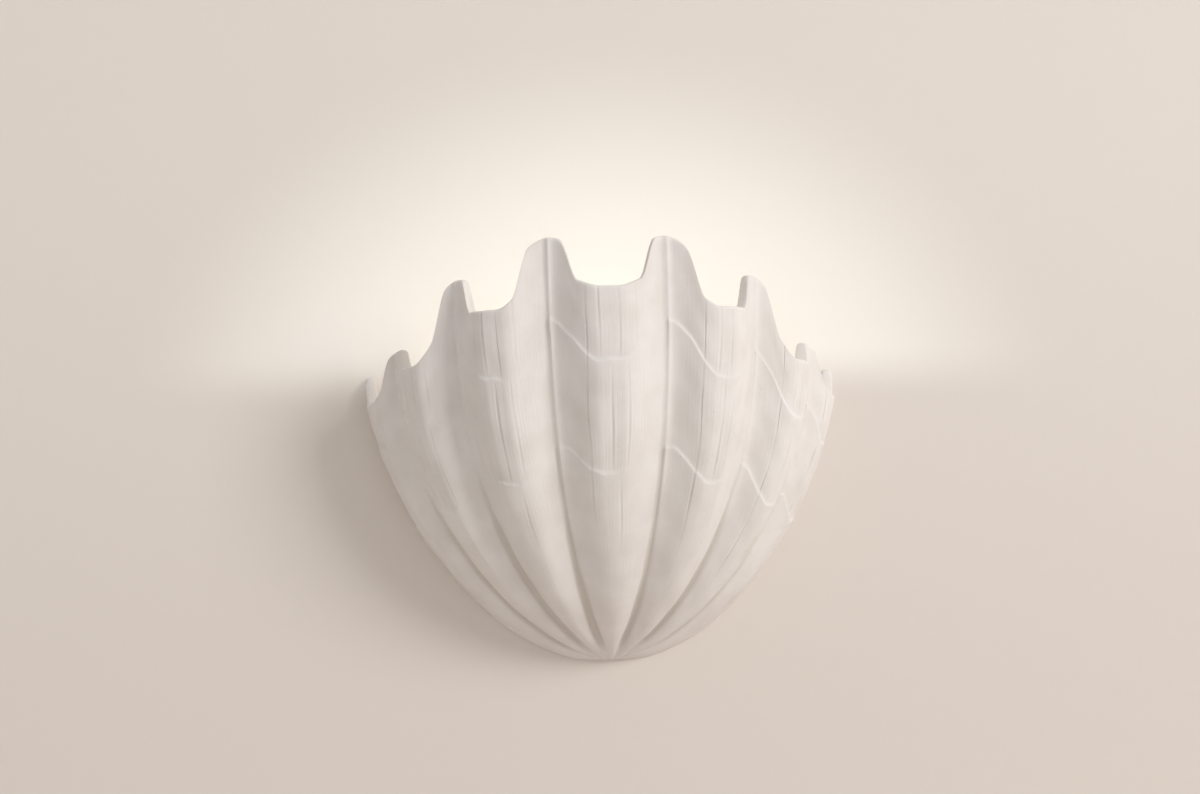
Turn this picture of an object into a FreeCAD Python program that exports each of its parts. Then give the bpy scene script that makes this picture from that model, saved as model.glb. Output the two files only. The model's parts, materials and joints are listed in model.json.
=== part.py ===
"""Shell wall sconce: a fluted plaster half bowl that hangs by a steel bar on a wall plate.

Frame: +Z is up, the wall is the plane Y = 0 and the light stands out towards -Y.  The
origin is the middle of the mounting strap, where it lies against the wall.
"""
import FreeCAD, Part
import math
import os
import re
import Sketcher

from FreeCAD import Placement, Rotation, Vector

# Driving sizes in millimetres, degrees, counts or shares.
SIZES = [
    # the plaster shell, measured from its lowest point, the umbo
    ("shell_half_width", 160.0),
    ("shell_depth", 122.0),
    ("shell_wall", 6.5),
    ("floor_wall", 8.0),
    ("umbo_drop", 130.0),
    ("umbo_flat", 1.2),
    ("rib_count", 7),
    ("rim_side", 187.0),
    ("rim_front", 270.5),
    ("scallop_side", 12.0),
    ("scallop_front", 23.5),
    ("side_flank_low", 0.35),
    ("side_flank_high", 0.86),
    ("front_flank_low", 0.21),
    ("front_flank_high", 0.95),
    ("relief_side", 7.0),
    ("relief_front", 12.5),
    ("rib_crowding", 0.04),
    ("belly_side", 1.4),
    ("belly_front", 1.5),
    ("belly_outward", 2.9),
    ("belly_spread", 0.45),
    ("belly_more", 0.37),
    ("cheek", 0.18),
    ("inner_relief_share", 0.75),
    ("furrow_softness", 0.35),
    ("low_step_share", 0.525),
    ("high_step_share", 0.81),
    ("step_lip", 1.3),
    ("lug_radius", 12.0),
    ("lug_inset", 7.7854),
    ("lug_gap", 1.0),
    # the bar that the shell hangs by
    ("bar_height", 16.0),
    ("bar_sheet", 2.5),
    ("bar_level", 35.0),
    ("bar_overhang", 4.5),
    ("hook_play", 0.3),
    ("lug_screw_radius", 2.0),
    ("lug_screw_length", 9.0),
    ("lug_insert_wall", 1.2),
    # the wall plate and the strap behind it
    ("plate_height", 110.0),
    ("plate_depth", 12.0),
    ("plate_sheet", 1.5),
    ("plate_corner", 9.0),
    ("hook_spacing", 84.0),
    ("hook_width", 14.0),
    ("hook_sheet", 2.0),
    ("hook_lip", 10.0),
    ("strap_end", 3.05),
    ("strap_room", 3.5),
    ("strap_height", 22.0),
    ("strap_sheet", 2.0),
    ("strap_hole_radius", 6.0),
    ("box_spacing", 88.9),
    ("box_slot_length", 11.0),
    ("machine_screw_radius", 2.0),
    ("stud_spacing", 44.0),
    ("stud_radius", 2.0),
    ("nut_across_flats", 7.0),
    ("nut_height", 4.0),
    # screw heads, the holes that screws pass and the washer-like ring terminal
    ("head_radius", 3.6),
    ("head_height", 2.3),
    ("hole_play", 0.3),
    ("ring_radius", 4.2),
    ("ring_sheet", 0.8),
    # the lampholder and its bracket
    ("lamp_reach", 46.0),
    ("shelf_level", -40.0),
    ("bracket_width", 30.0),
    ("bracket_sheet", 1.5),
    ("bracket_leg", 24.0),
    ("shelf_margin", 17.0),
    ("bracket_screw_spacing", 16.0),
    ("bracket_screw_length", 7.0),
    ("nipple_radius", 5.0),
    ("nipple_bore_radius", 3.4),
    ("nipple_below", 7.0),
    ("locknut_across_flats", 14.0),
    ("locknut_height", 3.0),
    ("holder_radius", 14.0),
    ("holder_base_height", 14.0),
    ("holder_skirt_height", 26.0),
    ("holder_wall", 1.8),
    ("holder_floor", 3.0),
    ("screw_shell_sheet", 0.5),
    ("contact_width", 5.0),
    ("contact_sheet", 0.5),
    # the lamp, a frosted 45 mm globe on a 14 mm screw cap
    ("cap_radius", 6.95),
    ("cap_length", 16.0),
    ("cap_play", 0.35),
    ("insulator_height", 3.2),
    ("tip_radius", 2.4),
    ("tip_height", 1.6),
    ("tip_play", 0.3),
    ("collar_radius", 14.4),
    ("collar_height", 22.0),
    ("globe_radius", 22.5),
    ("globe_wall", 1.2),
    ("board_sheet", 1.6),
    # the terminal block, its leads and the wire grommet
    ("block_width", 26.0),
    ("block_height", 18.0),
    ("block_depth", 14.0),
    ("block_side", 35.0),
    ("block_level", -31.0),
    ("pole_pitch", 8.0),
    ("port_radius", 1.7),
    ("port_depth", 6.0),
    ("terminal_screw_radius", 1.7),
    ("lead_radius", 1.1),
    ("lead_sag", 12.0),
    ("lead_dip", 8.0),
    ("lead_spacing", 5.0),
    ("lead_gap", 0.3),
    ("lead_stub", 4.0),
    ("barrel_length", 6.0),
    ("barrel_lap", 0.5),
    ("barrel_wall", 1.0),
    ("barrel_run", 6.0),
    ("grommet_hole_radius", 6.5),
    ("grommet_bore_radius", 4.5),
    ("grommet_flange", 2.0),
    ("grommet_level", 18.0),
    ("earth_level", -48.0),
    ("earth_side", 14.0),
]

SPLINE_DEGREE = 3
OUTER_RIB_STEPS = 6
INNER_RIB_STEPS = 4
OUTER_ROWS = (6, 3, 3)
INNER_ROWS = 7
CORNER_SHARE = 0.45

doc = FreeCAD.newDocument("ShellSconce")
sheet = doc.addObject("Spreadsheet::Sheet", "Sizes")
parts = []


def fill_sheet():
    """Write each driving size as a named cell."""
    for row, (alias, value) in enumerate(SIZES, start=1):
        sheet.set("A%d" % row, alias)
        sheet.set("B%d" % row, str(value))
        sheet.setAlias("B%d" % row, alias)
    doc.recompute()


def ref(text):
    """Point each named size in an expression at the sheet."""
    names = {alias for alias, _value in SIZES}
    return re.sub(r"[a-z_]+", lambda word: "Sizes." + word[0] if word[0] in names else word[0], text)


def size(text):
    """The present value of an expression of named sizes."""
    return float(sheet.evalExpression(ref(text)))


def bind(item, prop, text):
    """Tie one property of an object to an expression of named sizes."""
    item.setExpression(prop, ref(text))


def place(item, x="0", y="0", z="0", turn=Rotation()):
    """Stand an object at a place given by expressions."""
    item.Placement = Placement(Vector(size(x), size(y), size(z)), turn)
    for axis, text in (("x", x), ("y", y), ("z", z)):
        bind(item, "Placement.Base." + axis, text)
    return item


def keep(item, label):
    """Name a finished piece."""
    item.Label = label
    parts.append((label, item))
    return item


# Turns a piece that is modelled upright so that its top faces the room.
FACING_ROOM = Rotation(Vector(1, 0, 0), 90)
FACING_RIGHT = Rotation(Vector(0, 1, 0), 90)


# ---------------------------------------------------------------- sketches and bodies

def new_body(name):
    return doc.addObject("PartDesign::Body", name + "_body")


def new_sketch(body, plane_role):
    """A sketch on one of its body's own origin planes."""
    sketch = body.newObject("Sketcher::SketchObject", body.Name + "_sketch")
    plane = [item for item in body.Origin.OriginFeatures if item.Role == plane_role][0]
    sketch.AttachmentSupport = [(plane, "")]
    sketch.MapMode = "FlatFace"
    return sketch


def add_outline(sketch, corners):
    """A closed outline of straight lines whose corners are pairs of expressions."""
    first = sketch.GeometryCount
    count = len(corners)
    spots = [Vector(size(x), size(y), 0) for x, y in corners]
    for number in range(count):
        line = Part.LineSegment(spots[number], spots[(number + 1) % count])
        sketch.addGeometry(line, False)
    for number, (x, y) in enumerate(corners):
        edge = first + number
        following = first + (number + 1) % count
        sketch.addConstraint(Sketcher.Constraint("Coincident", edge, 2, following, 1))
        for kind, text, value in (("DistanceX", x, spots[number].x), ("DistanceY", y, spots[number].y)):
            index = sketch.addConstraint(Sketcher.Constraint(kind, -1, 1, edge, 1, value))
            sketch.setExpression("Constraints[%d]" % index, ref(text))


def add_rectangle(sketch, x, y, width, height):
    """A rectangle about a middle given by expressions."""
    left = "(%s) - (%s) / 2" % (x, width)
    right = "(%s) + (%s) / 2" % (x, width)
    low = "(%s) - (%s) / 2" % (y, height)
    high = "(%s) + (%s) / 2" % (y, height)
    add_outline(sketch, [(left, low), (right, low), (right, high), (left, high)])


def add_circle(sketch, x, y, radius):
    """A circle about a middle given by expressions."""
    circle = Part.Circle(Vector(size(x), size(y), 0), Vector(0, 0, 1), size(radius))
    edge = sketch.addGeometry(circle, False)
    for kind, text in (("DistanceX", x), ("DistanceY", y)):
        index = sketch.addConstraint(Sketcher.Constraint(kind, -1, 1, edge, 3, size(text)))
        sketch.setExpression("Constraints[%d]" % index, ref(text))
    index = sketch.addConstraint(Sketcher.Constraint("Radius", edge, size(radius)))
    sketch.setExpression("Constraints[%d]" % index, ref(radius))


def pad(body, sketch, length, midplane=False):
    feature = body.newObject("PartDesign::Pad", body.Name + "_pad")
    feature.Profile = sketch
    feature.Midplane = midplane
    bind(feature, "Length", length)
    sketch.Visibility = False
    doc.recompute()
    return feature


def cut(body, sketch, length, reverse=False):
    """A pocket of a given depth that must take something away."""
    before = body.Shape.Volume
    feature = body.newObject("PartDesign::Pocket", body.Name + "_pocket")
    feature.Profile = sketch
    feature.Reversed = reverse
    bind(feature, "Length", length)
    sketch.Visibility = False
    doc.recompute()
    if not body.Shape.Volume < before - 0.01:
        raise RuntimeError("a pocket in %s took nothing away" % body.Label)
    return feature


def round_edges(body, radius, chosen):
    """Fillet the edges of a body's tip that a test picks out."""
    tip = body.Tip
    names = ["Edge%d" % number for number, edge in enumerate(tip.Shape.Edges, start=1) if chosen(edge)]
    feature = body.newObject("PartDesign::Fillet", body.Name + "_fillet")
    feature.Base = (tip, names)
    bind(feature, "Radius", radius)
    doc.recompute()
    return feature


def runs_along(edge, direction):
    """True for a straight edge parallel to a direction."""
    if edge.Curve.TypeId != "Part::GeomLine":
        return False
    return abs(edge.tangentAt(edge.FirstParameter).dot(direction)) > 0.999


def turned(name, corners):
    """A body turned about the upright axis from an outline of radius and height."""
    body = new_body(name)
    sketch = new_sketch(body, "XZ_Plane")
    add_outline(sketch, corners)
    doc.recompute()
    feature = body.newObject("PartDesign::Revolution", body.Name + "_turn")
    feature.Profile = sketch
    feature.ReferenceAxis = (sketch, ["V_Axis"])
    feature.Angle = 360
    sketch.Visibility = False
    doc.recompute()
    return body


# ---------------------------------------------------------------- plain solids

def cylinder(name, radius, height, x="0", y="0", z="0", turn=Rotation()):
    item = doc.addObject("Part::Cylinder", name)
    bind(item, "Radius", radius)
    bind(item, "Height", height)
    return place(item, x, y, z, turn)


def block(name, width, depth, height, x="0", y="0", z="0"):
    """A box about a middle in X, with its lowest Y and Z corner given."""
    item = doc.addObject("Part::Box", name)
    bind(item, "Length", width)
    bind(item, "Width", depth)
    bind(item, "Height", height)
    return place(item, "(%s) - (%s) / 2" % (x, width), y, z)


def hexagon(name, across_flats, height, x="0", y="0", z="0", turn=Rotation()):
    item = doc.addObject("Part::Prism", name)
    item.Polygon = 6
    bind(item, "Circumradius", "(%s) / 2 / cos(30)" % across_flats)
    bind(item, "Height", height)
    return place(item, x, y, z, turn)


def without(name, base, tools):
    """A solid less several tools."""
    whole = tools[0]
    if len(tools) > 1:
        whole = doc.addObject("Part::MultiFuse", name + "_tools")
        whole.Shapes = tools
    item = doc.addObject("Part::Cut", name)
    item.Base = base
    item.Tool = whole
    return item


def joined(name, shapes):
    item = doc.addObject("Part::MultiFuse", name)
    item.Shapes = shapes
    item.Refine = True
    return item


def pair(name, item):
    """A piece and its mirror image on the other side, as two separate solids."""
    other = doc.addObject("Part::Mirroring", name + "_other")
    other.Source = item
    other.Base = Vector(0, 0, 0)
    other.Normal = Vector(1, 0, 0)
    group = doc.addObject("Part::Compound", name + "_pair")
    group.Links = [item, other]
    return group


def screw(name, radius, length):
    """A pan-head screw, upright, with the underside of its head at height 0."""
    return turned(name, [
        ("0", "-(%s)" % length),
        (radius, "-(%s)" % length),
        (radius, "0"),
        ("head_radius", "0"),
        ("head_radius", "head_height * 0.45"),
        ("head_radius * 0.72", "head_height * 0.9"),
        ("head_radius * 0.3", "head_height"),
        ("0", "head_height"),
    ])


# ---------------------------------------------------------------- the plaster shell

def smooth_rise(value, low, high):
    """0 below low, 1 above high and a smooth rise between."""
    share = min(1.0, max(0.0, (value - low) / (high - low)))
    return share * share * (3.0 - 2.0 * share)


def blend(side, front, angle):
    """A size that goes from its value at the wall to its value at the front."""
    return side + (front - side) * math.cos(angle) ** 2


class ShellForm:
    """The fluted surface: an angle picks the meridian, a share the height along it."""

    def __init__(self):
        self.rib_angle = math.pi / size("rib_count")
        self.rim_side = size("rim_side")
        self.rim_front = size("rim_front")
        self.scallop_side = size("scallop_side")
        self.scallop_front = size("scallop_front")
        self.umbo = -size("umbo_drop")

    def rib_turns(self, angle):
        """How many ribs an angle lies from the front; a whole number is the crest of a rib."""
        turns = angle / self.rib_angle
        if round(size("rib_count")) % 2 == 0:
            turns += 0.5
        return turns

    def across_rib(self, angle):
        """0 on the crest of a rib and 1 in the furrow beside it."""
        turns = self.rib_turns(angle)
        return abs(turns - round(turns)) * 2.0

    def lobe(self, across):
        """The round back of a rib: 1 on its crest, 0 in a furrow that is softly rounded."""
        soft = size("furrow_softness")
        return (math.hypot(math.cos(math.pi / 2 * across), soft) - soft) / (math.hypot(1.0, soft) - soft)

    def rim_height(self, angle):
        """Height of the scalloped rim over the umbo: low on a crest, high in a furrow."""
        middle = blend(self.rim_side, self.rim_front, angle)
        reach = blend(self.scallop_side, self.scallop_front, angle)
        flank = "front_flank" if abs(self.rib_turns(angle)) < 0.5 else "side_flank"
        rise = smooth_rise(self.across_rib(angle), size(flank + "_low"), size(flank + "_high"))
        return middle + reach * (2.0 * rise - 1.0)

    def point(self, angle, share, inset, bottom, relief, lip=0.0):
        """A point of the surface, set in from the outside by inset and up by bottom."""
        height = bottom + share * (self.rim_height(angle) - bottom)
        crown = blend(self.rim_side + self.scallop_side, self.rim_front + self.scallop_front, angle)
        rise = (height - bottom + size("umbo_flat")) / (crown - bottom + size("umbo_flat"))
        rise = min(rise, 1.0)
        bearing = angle + size("rib_crowding") * math.sin(2.0 * angle)
        sine = math.sin(bearing)
        cosine = math.cos(bearing) if abs(angle) < math.pi / 2 - 1e-9 else 0.0
        spread = size("belly_spread") + size("belly_more") * (1.0 - (abs(bearing) / (math.pi / 2)) ** 3)
        sideways = (1.0 - (1.0 - rise) ** size("belly_side + belly_front * %.9f" % abs(cosine))) ** spread
        outwards = (1.0 - (1.0 - rise) ** size("belly_outward")) ** spread
        half_width = size("shell_half_width") - inset
        depth = size("shell_depth") - inset
        x = half_width * sine * (1.0 - size("cheek") * abs(sine) * cosine) * sideways
        y = -depth * cosine * outwards
        swell = blend(size("relief_side"), size("relief_front"), angle) * relief * sideways
        swell = swell * self.lobe(self.across_rib(angle)) + lip * sideways
        normal = Vector(sine / half_width, -cosine / depth, 0)
        normal.normalize()
        return Vector(x, y, self.umbo + height) + normal * swell


def even_knots(pole_count, degree):
    """Knots and their repeats for a clamped spline with evenly spread poles."""
    spans = pole_count - degree
    knots = [float(number) for number in range(spans + 1)]
    repeats = [degree + 1] + [1] * (spans - 1) + [degree + 1]
    return knots, repeats


def shell_face(form, shares, inset, bottom, relief, lip, rib_steps):
    """One band of the surface, with a row of poles for each share."""
    count = round(size("rib_count")) * rib_steps
    angles = [math.pi * (number / count - 0.5) for number in range(count + 1)]
    low, high = shares[0], shares[-1]
    poles = []
    for share in shares:
        edge = lip * ((share - low) / (high - low)) ** 3
        poles.append([form.point(angle, share, inset, bottom, relief, edge) for angle in angles])
    upward = min(SPLINE_DEGREE, len(shares) - 1)
    up_knots, up_repeats = even_knots(len(shares), upward)
    round_knots, round_repeats = even_knots(len(angles), SPLINE_DEGREE)
    surface = Part.BSplineSurface()
    surface.buildFromPolesMultsKnots(poles, up_repeats, round_repeats, up_knots, round_knots, False, False,
                                     upward, SPLINE_DEGREE)
    return surface.toShape()


def far_edge(face, place_of):
    """The edge of a band whose middle comes nearest to a point."""
    def distance(edge):
        middle = edge.valueAt((edge.FirstParameter + edge.LastParameter) / 2)
        return middle.distanceToPoint(place_of)
    return min(face.Edges, key=distance)


def band_edges(form, face, shares, inset, bottom, relief, lip):
    """The lower, upper, left and right edges of one band."""
    low, high = shares[0], shares[-1]
    middle = (low + high) / 2
    part = lip * ((middle - low) / (high - low)) ** 3
    lower = far_edge(face, form.point(0.0, low, inset, bottom, relief))
    upper = far_edge(face, form.point(0.0, high, inset, bottom, relief, lip))
    left = far_edge(face, form.point(-math.pi / 2, middle, inset, bottom, relief, part))
    right = far_edge(face, form.point(math.pi / 2, middle, inset, bottom, relief, part))
    return lower, upper, left, right


def even_shares(low, high, count):
    """Point rows up a band, closer together where the surface turns under to the umbo."""
    power = 2.0 if low == 0.0 else 1.0
    return [low + (high - low) * (number / count) ** power for number in range(count + 1)]


def line_between(start, end):
    return Part.LineSegment(start, end).toShape()


def make_shell():
    """The cast shell: three outer bands with a ledge at each growth step, a smooth inside."""
    form = ShellForm()
    steps = [0.0, size("low_step_share"), size("high_step_share"), 1.0]
    faces = []
    left_line = []
    right_line = []
    previous_upper = None
    bottom = size("umbo_flat")
    for number in range(3):
        shares = even_shares(steps[number], steps[number + 1], OUTER_ROWS[number])
        lip = size("step_lip") if number < 2 else 0.0
        face = shell_face(form, shares, 0.0, bottom, 1.0, lip, OUTER_RIB_STEPS)
        faces.append(face)
        lower, upper, left, right = band_edges(form, face, shares, 0.0, bottom, 1.0, lip)
        if previous_upper is None:
            outer_bottom = lower
        else:
            ledge = Part.makeRuledSurface(previous_upper, lower)
            faces.append(ledge)
            corners = sorted(previous_upper.Vertexes + lower.Vertexes, key=lambda v: v.Point.x)
            left_line.append(line_between(corners[0].Point, corners[1].Point))
            right_line.append(line_between(corners[2].Point, corners[3].Point))
        left_line.append(left)
        right_line.append(right)
        previous_upper = upper
    outer_rim = previous_upper

    inset = size("shell_wall")
    floor = size("floor_wall")
    relief = size("inner_relief_share")
    shares = even_shares(0.0, 1.0, INNER_ROWS)
    inner = shell_face(form, shares, inset, floor, relief, 0.0, INNER_RIB_STEPS)
    faces.append(inner)
    inner_bottom, inner_rim, inner_left, inner_right = band_edges(
        form, inner, shares, inset, floor, relief, 0.0)
    faces.append(Part.makeRuledSurface(outer_rim, inner_rim))

    def by_side(edge):
        return sorted((vertex.Point for vertex in edge.Vertexes), key=lambda point: point.x)

    outer_ends = by_side(outer_bottom)
    inner_ends = by_side(inner_bottom)
    outer_tips = by_side(outer_rim)
    inner_tips = by_side(inner_rim)
    base_line = line_between(outer_ends[0], outer_ends[1])
    floor_line = line_between(inner_ends[0], inner_ends[1])
    faces.append(Part.Face(Part.Wire(Part.__sortEdges__([outer_bottom, base_line]))))
    faces.append(Part.Face(Part.Wire(Part.__sortEdges__([inner_bottom, floor_line]))))
    back = [base_line, floor_line, inner_left, inner_right]
    back += left_line + right_line
    back.append(line_between(outer_tips[0], inner_tips[0]))
    back.append(line_between(outer_tips[1], inner_tips[1]))
    faces.append(Part.Face(Part.Wire(Part.__sortEdges__(back))))

    skin = Part.Shell(faces)
    skin.sewShape()
    solid = Part.Solid(Part.Shell(skin.Faces))
    if solid.Volume < 0:
        solid.reverse()
    bosses = []
    for side in (-1, 1):
        start = Vector(side * size(LUG_X), size(LUG_FRONT), size("bar_level"))
        bosses.append(Part.makeCylinder(size("lug_radius"), -size(LUG_FRONT) - size("lug_gap"), start, Vector(0, 1, 0)))
    solid = solid.fuse(bosses)
    for side in (-1, 1):
        start = Vector(side * size(LUG_X), size(LUG_FRONT), size("bar_level"))
        radius = size("lug_screw_radius + lug_insert_wall")
        solid = solid.cut(Part.makeCylinder(radius, size("lug_screw_length"), start, Vector(0, 1, 0)))
    item = doc.addObject("Part::Feature", "shell_solid")
    item.Shape = solid
    item.Placement = Placement()
    return keep(item, "shell")


# ---------------------------------------------------------------- the bar that it hangs by

STRAP_LENGTH = "(box_spacing + box_slot_length + 2 * strap_end)"
PLATE_WIDTH = "(box_spacing + box_slot_length + 2 * (strap_end + strap_room + plate_sheet))"
PLATE_FRONT = "-plate_depth"
BAR_BACK = "-plate_depth - hook_play"
BAR_FRONT = "-plate_depth - hook_play - bar_sheet"
BAR_LOW = "bar_level - bar_height / 2"
BAR_SHARE = "((bar_level + umbo_drop) / (rim_side + scallop_side))"
SIDE_AT_BAR = "(shell_half_width * (1 - (1 - %s) ^ belly_side) ^ belly_spread)" % BAR_SHARE
LUG_X = "(%s - shell_wall - lug_inset)" % SIDE_AT_BAR
LUG_FRONT = "-plate_depth - hook_play"


def make_hanger():
    """The flat bar across the back, its screws and the threaded inserts in the lugs."""
    body = new_body("hanger_bar")
    sketch = new_sketch(body, "XZ_Plane")
    add_rectangle(sketch, "0", "0", "2 * (%s + bar_overhang)" % LUG_X, "bar_height")
    for side in ("-1", "1"):
        add_circle(sketch, "%s * %s" % (side, LUG_X), "0", "lug_screw_radius + hole_play")
    pad(body, sketch, "bar_sheet")
    round_edges(body, "bar_height / 4", lambda edge: runs_along(edge, Vector(0, 1, 0)))
    place(body, "0", BAR_BACK, "bar_level")
    keep(body, "hanger_bar")

    one = screw("bar_screw", "lug_screw_radius", "bar_sheet + lug_screw_length - 1")
    place(one, LUG_X, BAR_FRONT, "bar_level", FACING_ROOM)
    keep(pair("bar_screws", one), "bar_screws")

    insert = turned("lug_insert", [
        ("lug_screw_radius", "-lug_screw_length"),
        ("lug_screw_radius + lug_insert_wall", "-lug_screw_length"),
        ("lug_screw_radius + lug_insert_wall", "0"),
        ("lug_screw_radius", "0"),
    ])
    place(insert, LUG_X, LUG_FRONT, "bar_level", FACING_ROOM)
    keep(pair("lug_inserts", insert), "lug_inserts")


# ---------------------------------------------------------------- the wall plate

def make_wall_plate():
    """A pressed steel pan with two hooks bent out of its face."""
    body = new_body("wall_plate")
    face = new_sketch(body, "XZ_Plane")
    add_rectangle(face, "0", "0", PLATE_WIDTH, "plate_height")
    pad(body, face, "plate_depth")
    hollow = new_sketch(body, "XZ_Plane")
    add_rectangle(hollow, "0", "0", PLATE_WIDTH + " - 2 * plate_sheet", "plate_height - 2 * plate_sheet")
    cut(body, hollow, "plate_depth - plate_sheet", reverse=True)
    for radius, half_width in (("plate_corner - plate_sheet", size(PLATE_WIDTH + " / 2 - plate_sheet")),
                               ("plate_corner", size(PLATE_WIDTH + " / 2"))):
        round_edges(body, radius, lambda edge: runs_along(edge, Vector(0, 1, 0))
                    and abs(abs(edge.Vertexes[0].X) - half_width) < 0.01)

    holes = new_sketch(body, "XZ_Plane")
    for side in ("-1", "1"):
        add_circle(holes, "%s * stud_spacing / 2" % side, "0", "stud_radius + hole_play")
        add_circle(holes, "%s * bracket_screw_spacing / 2" % side, "shelf_level + bracket_leg / 2",
                   "machine_screw_radius")
        add_rectangle(holes, "%s * hook_spacing / 2" % side,
                      "bar_level - bar_height / 2 - hook_sheet - hook_lip", "hook_width", "2 * hook_lip")
    add_circle(holes, "0", "grommet_level", "grommet_hole_radius")
    add_circle(holes, "earth_side", "earth_level", "machine_screw_radius")
    cut(body, holes, "plate_depth", reverse=True)

    hooks = []
    for name, side in (("left_hook", "-1"), ("right_hook", "1")):
        hook = new_body(name)
        outline = new_sketch(hook, "YZ_Plane")
        add_outline(outline, [
            (PLATE_FRONT, BAR_LOW + " - hook_sheet"),
            (BAR_FRONT + " - hook_play - hook_sheet", BAR_LOW + " - hook_sheet"),
            (BAR_FRONT + " - hook_play - hook_sheet", BAR_LOW + " + hook_lip"),
            (BAR_FRONT + " - hook_play", BAR_LOW + " + hook_lip"),
            (BAR_FRONT + " - hook_play", BAR_LOW),
            (PLATE_FRONT, BAR_LOW),
        ])
        pad(hook, outline, "hook_width", midplane=True)
        place(hook, "%s * hook_spacing / 2" % side, "0", "0")
        hooks.append(hook)
    keep(joined("wall_plate_whole", [body] + hooks), "wall_plate")


def make_strap():
    """The slotted strap for the wall box, and the studs and nuts that hold the plate to it."""
    body = new_body("mounting_strap")
    sketch = new_sketch(body, "XZ_Plane")
    add_rectangle(sketch, "0", "0", STRAP_LENGTH, "strap_height")
    add_circle(sketch, "0", "0", "strap_hole_radius")
    for side in ("-1", "1"):
        add_circle(sketch, "%s * stud_spacing / 2" % side, "0", "stud_radius")
    pad(body, sketch, "strap_sheet")
    slots = new_sketch(body, "XZ_Plane")
    width = "2 * (machine_screw_radius + hole_play)"
    for side in ("-1", "1"):
        middle = "%s * box_spacing / 2" % side
        add_rectangle(slots, middle, "0", "box_slot_length - %s" % width, width)
    cut(body, slots, "strap_sheet", reverse=True)
    for side in ("-1", "1"):
        for end in ("-1", "1"):
            ends = new_sketch(body, "XZ_Plane")
            add_circle(ends, "%s * box_spacing / 2 + %s * (box_slot_length / 2 - machine_screw_radius - hole_play)"
                       % (side, end), "0", "machine_screw_radius + hole_play")
            cut(body, ends, "strap_sheet", reverse=True)
    place(body)
    keep(body, "mounting_strap")

    stud = cylinder("plate_stud", "stud_radius", "plate_depth + nut_height", "stud_spacing / 2", "0", "0",
                    FACING_ROOM)
    keep(pair("plate_studs", stud), "plate_studs")

    flats = hexagon("nut_flats", "nut_across_flats", "nut_height", "stud_spacing / 2", PLATE_FRONT, "0",
                    FACING_ROOM)
    dome = doc.addObject("Part::Sphere", "nut_dome")
    bind(dome, "Radius", "nut_across_flats / 2 - hole_play")
    dome.Angle1 = 0
    place(dome, "stud_spacing / 2", "-plate_depth - nut_height", "0", FACING_ROOM)
    bore = cylinder("nut_bore", "stud_radius", "nut_height", "stud_spacing / 2", PLATE_FRONT, "0", FACING_ROOM)
    nut = without("cap_nut", joined("nut_whole", [flats, dome]), [bore])
    keep(pair("cap_nuts", nut), "cap_nuts")


# ---------------------------------------------------------------- the lampholder

LAMP_Y = "-lamp_reach"
SHELF_TOP = "shelf_level + bracket_sheet"
BASE_TOP = "shelf_level + bracket_sheet + holder_base_height"
HOLDER_TOP = "shelf_level + bracket_sheet + holder_base_height + holder_skirt_height"
SOCKET_RADIUS = "cap_radius + cap_play"


def make_bracket():
    """The angle bracket, its screws, and the hollow nipple and nut that clamp the holder."""
    body = new_body("holder_bracket")
    outline = new_sketch(body, "YZ_Plane")
    add_outline(outline, [
        (PLATE_FRONT, "shelf_level"),
        ("-lamp_reach - shelf_margin", "shelf_level"),
        ("-lamp_reach - shelf_margin", SHELF_TOP),
        (PLATE_FRONT + " - bracket_sheet", SHELF_TOP),
        (PLATE_FRONT + " - bracket_sheet", "shelf_level + bracket_leg"),
        (PLATE_FRONT, "shelf_level + bracket_leg"),
    ])
    pad(body, outline, "bracket_width", midplane=True)
    front = size("-lamp_reach - shelf_margin")
    round_edges(body, "bracket_width / 3", lambda edge: runs_along(edge, Vector(0, 0, 1))
                and abs(edge.Vertexes[0].Y - front) < 0.01)
    tall = size("shelf_level + bracket_leg")
    round_edges(body, "bracket_width / 6", lambda edge: runs_along(edge, Vector(0, 1, 0))
                and abs(edge.Vertexes[0].Z - tall) < 0.01)
    nipple_hole = cylinder("nipple_hole", "nipple_radius", "bracket_sheet * 3", "0", LAMP_Y,
                           "shelf_level - bracket_sheet")
    tools = [nipple_hole]
    for number, side in enumerate(("-1", "1")):
        tools.append(cylinder("leg_hole_%d" % number, "machine_screw_radius + hole_play", "plate_depth",
                              "%s * bracket_screw_spacing / 2" % side, PLATE_FRONT,
                              "shelf_level + bracket_leg / 2", FACING_ROOM))
    keep(without("bracket_whole", body, tools), "holder_bracket")

    one = screw("bracket_screw", "machine_screw_radius", "bracket_screw_length")
    place(one, "bracket_screw_spacing / 2", PLATE_FRONT + " - bracket_sheet",
          "shelf_level + bracket_leg / 2", FACING_ROOM)
    keep(pair("bracket_screws", one), "bracket_screws")

    nipple = turned("holder_nipple", [
        ("nipple_bore_radius", "-nipple_below"),
        ("nipple_radius", "-nipple_below"),
        ("nipple_radius", "bracket_sheet + holder_floor"),
        ("nipple_bore_radius", "bracket_sheet + holder_floor"),
    ])
    place(nipple, "0", LAMP_Y, "shelf_level")
    keep(nipple, "holder_nipple")

    nut = hexagon("locknut_flats", "locknut_across_flats", "locknut_height", "0", LAMP_Y,
                  "shelf_level - locknut_height")
    bore = cylinder("locknut_bore", "nipple_radius", "locknut_height", "0", LAMP_Y,
                    "shelf_level - locknut_height")
    keep(without("locknut", nut, [bore]), "nipple_nut")


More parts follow.
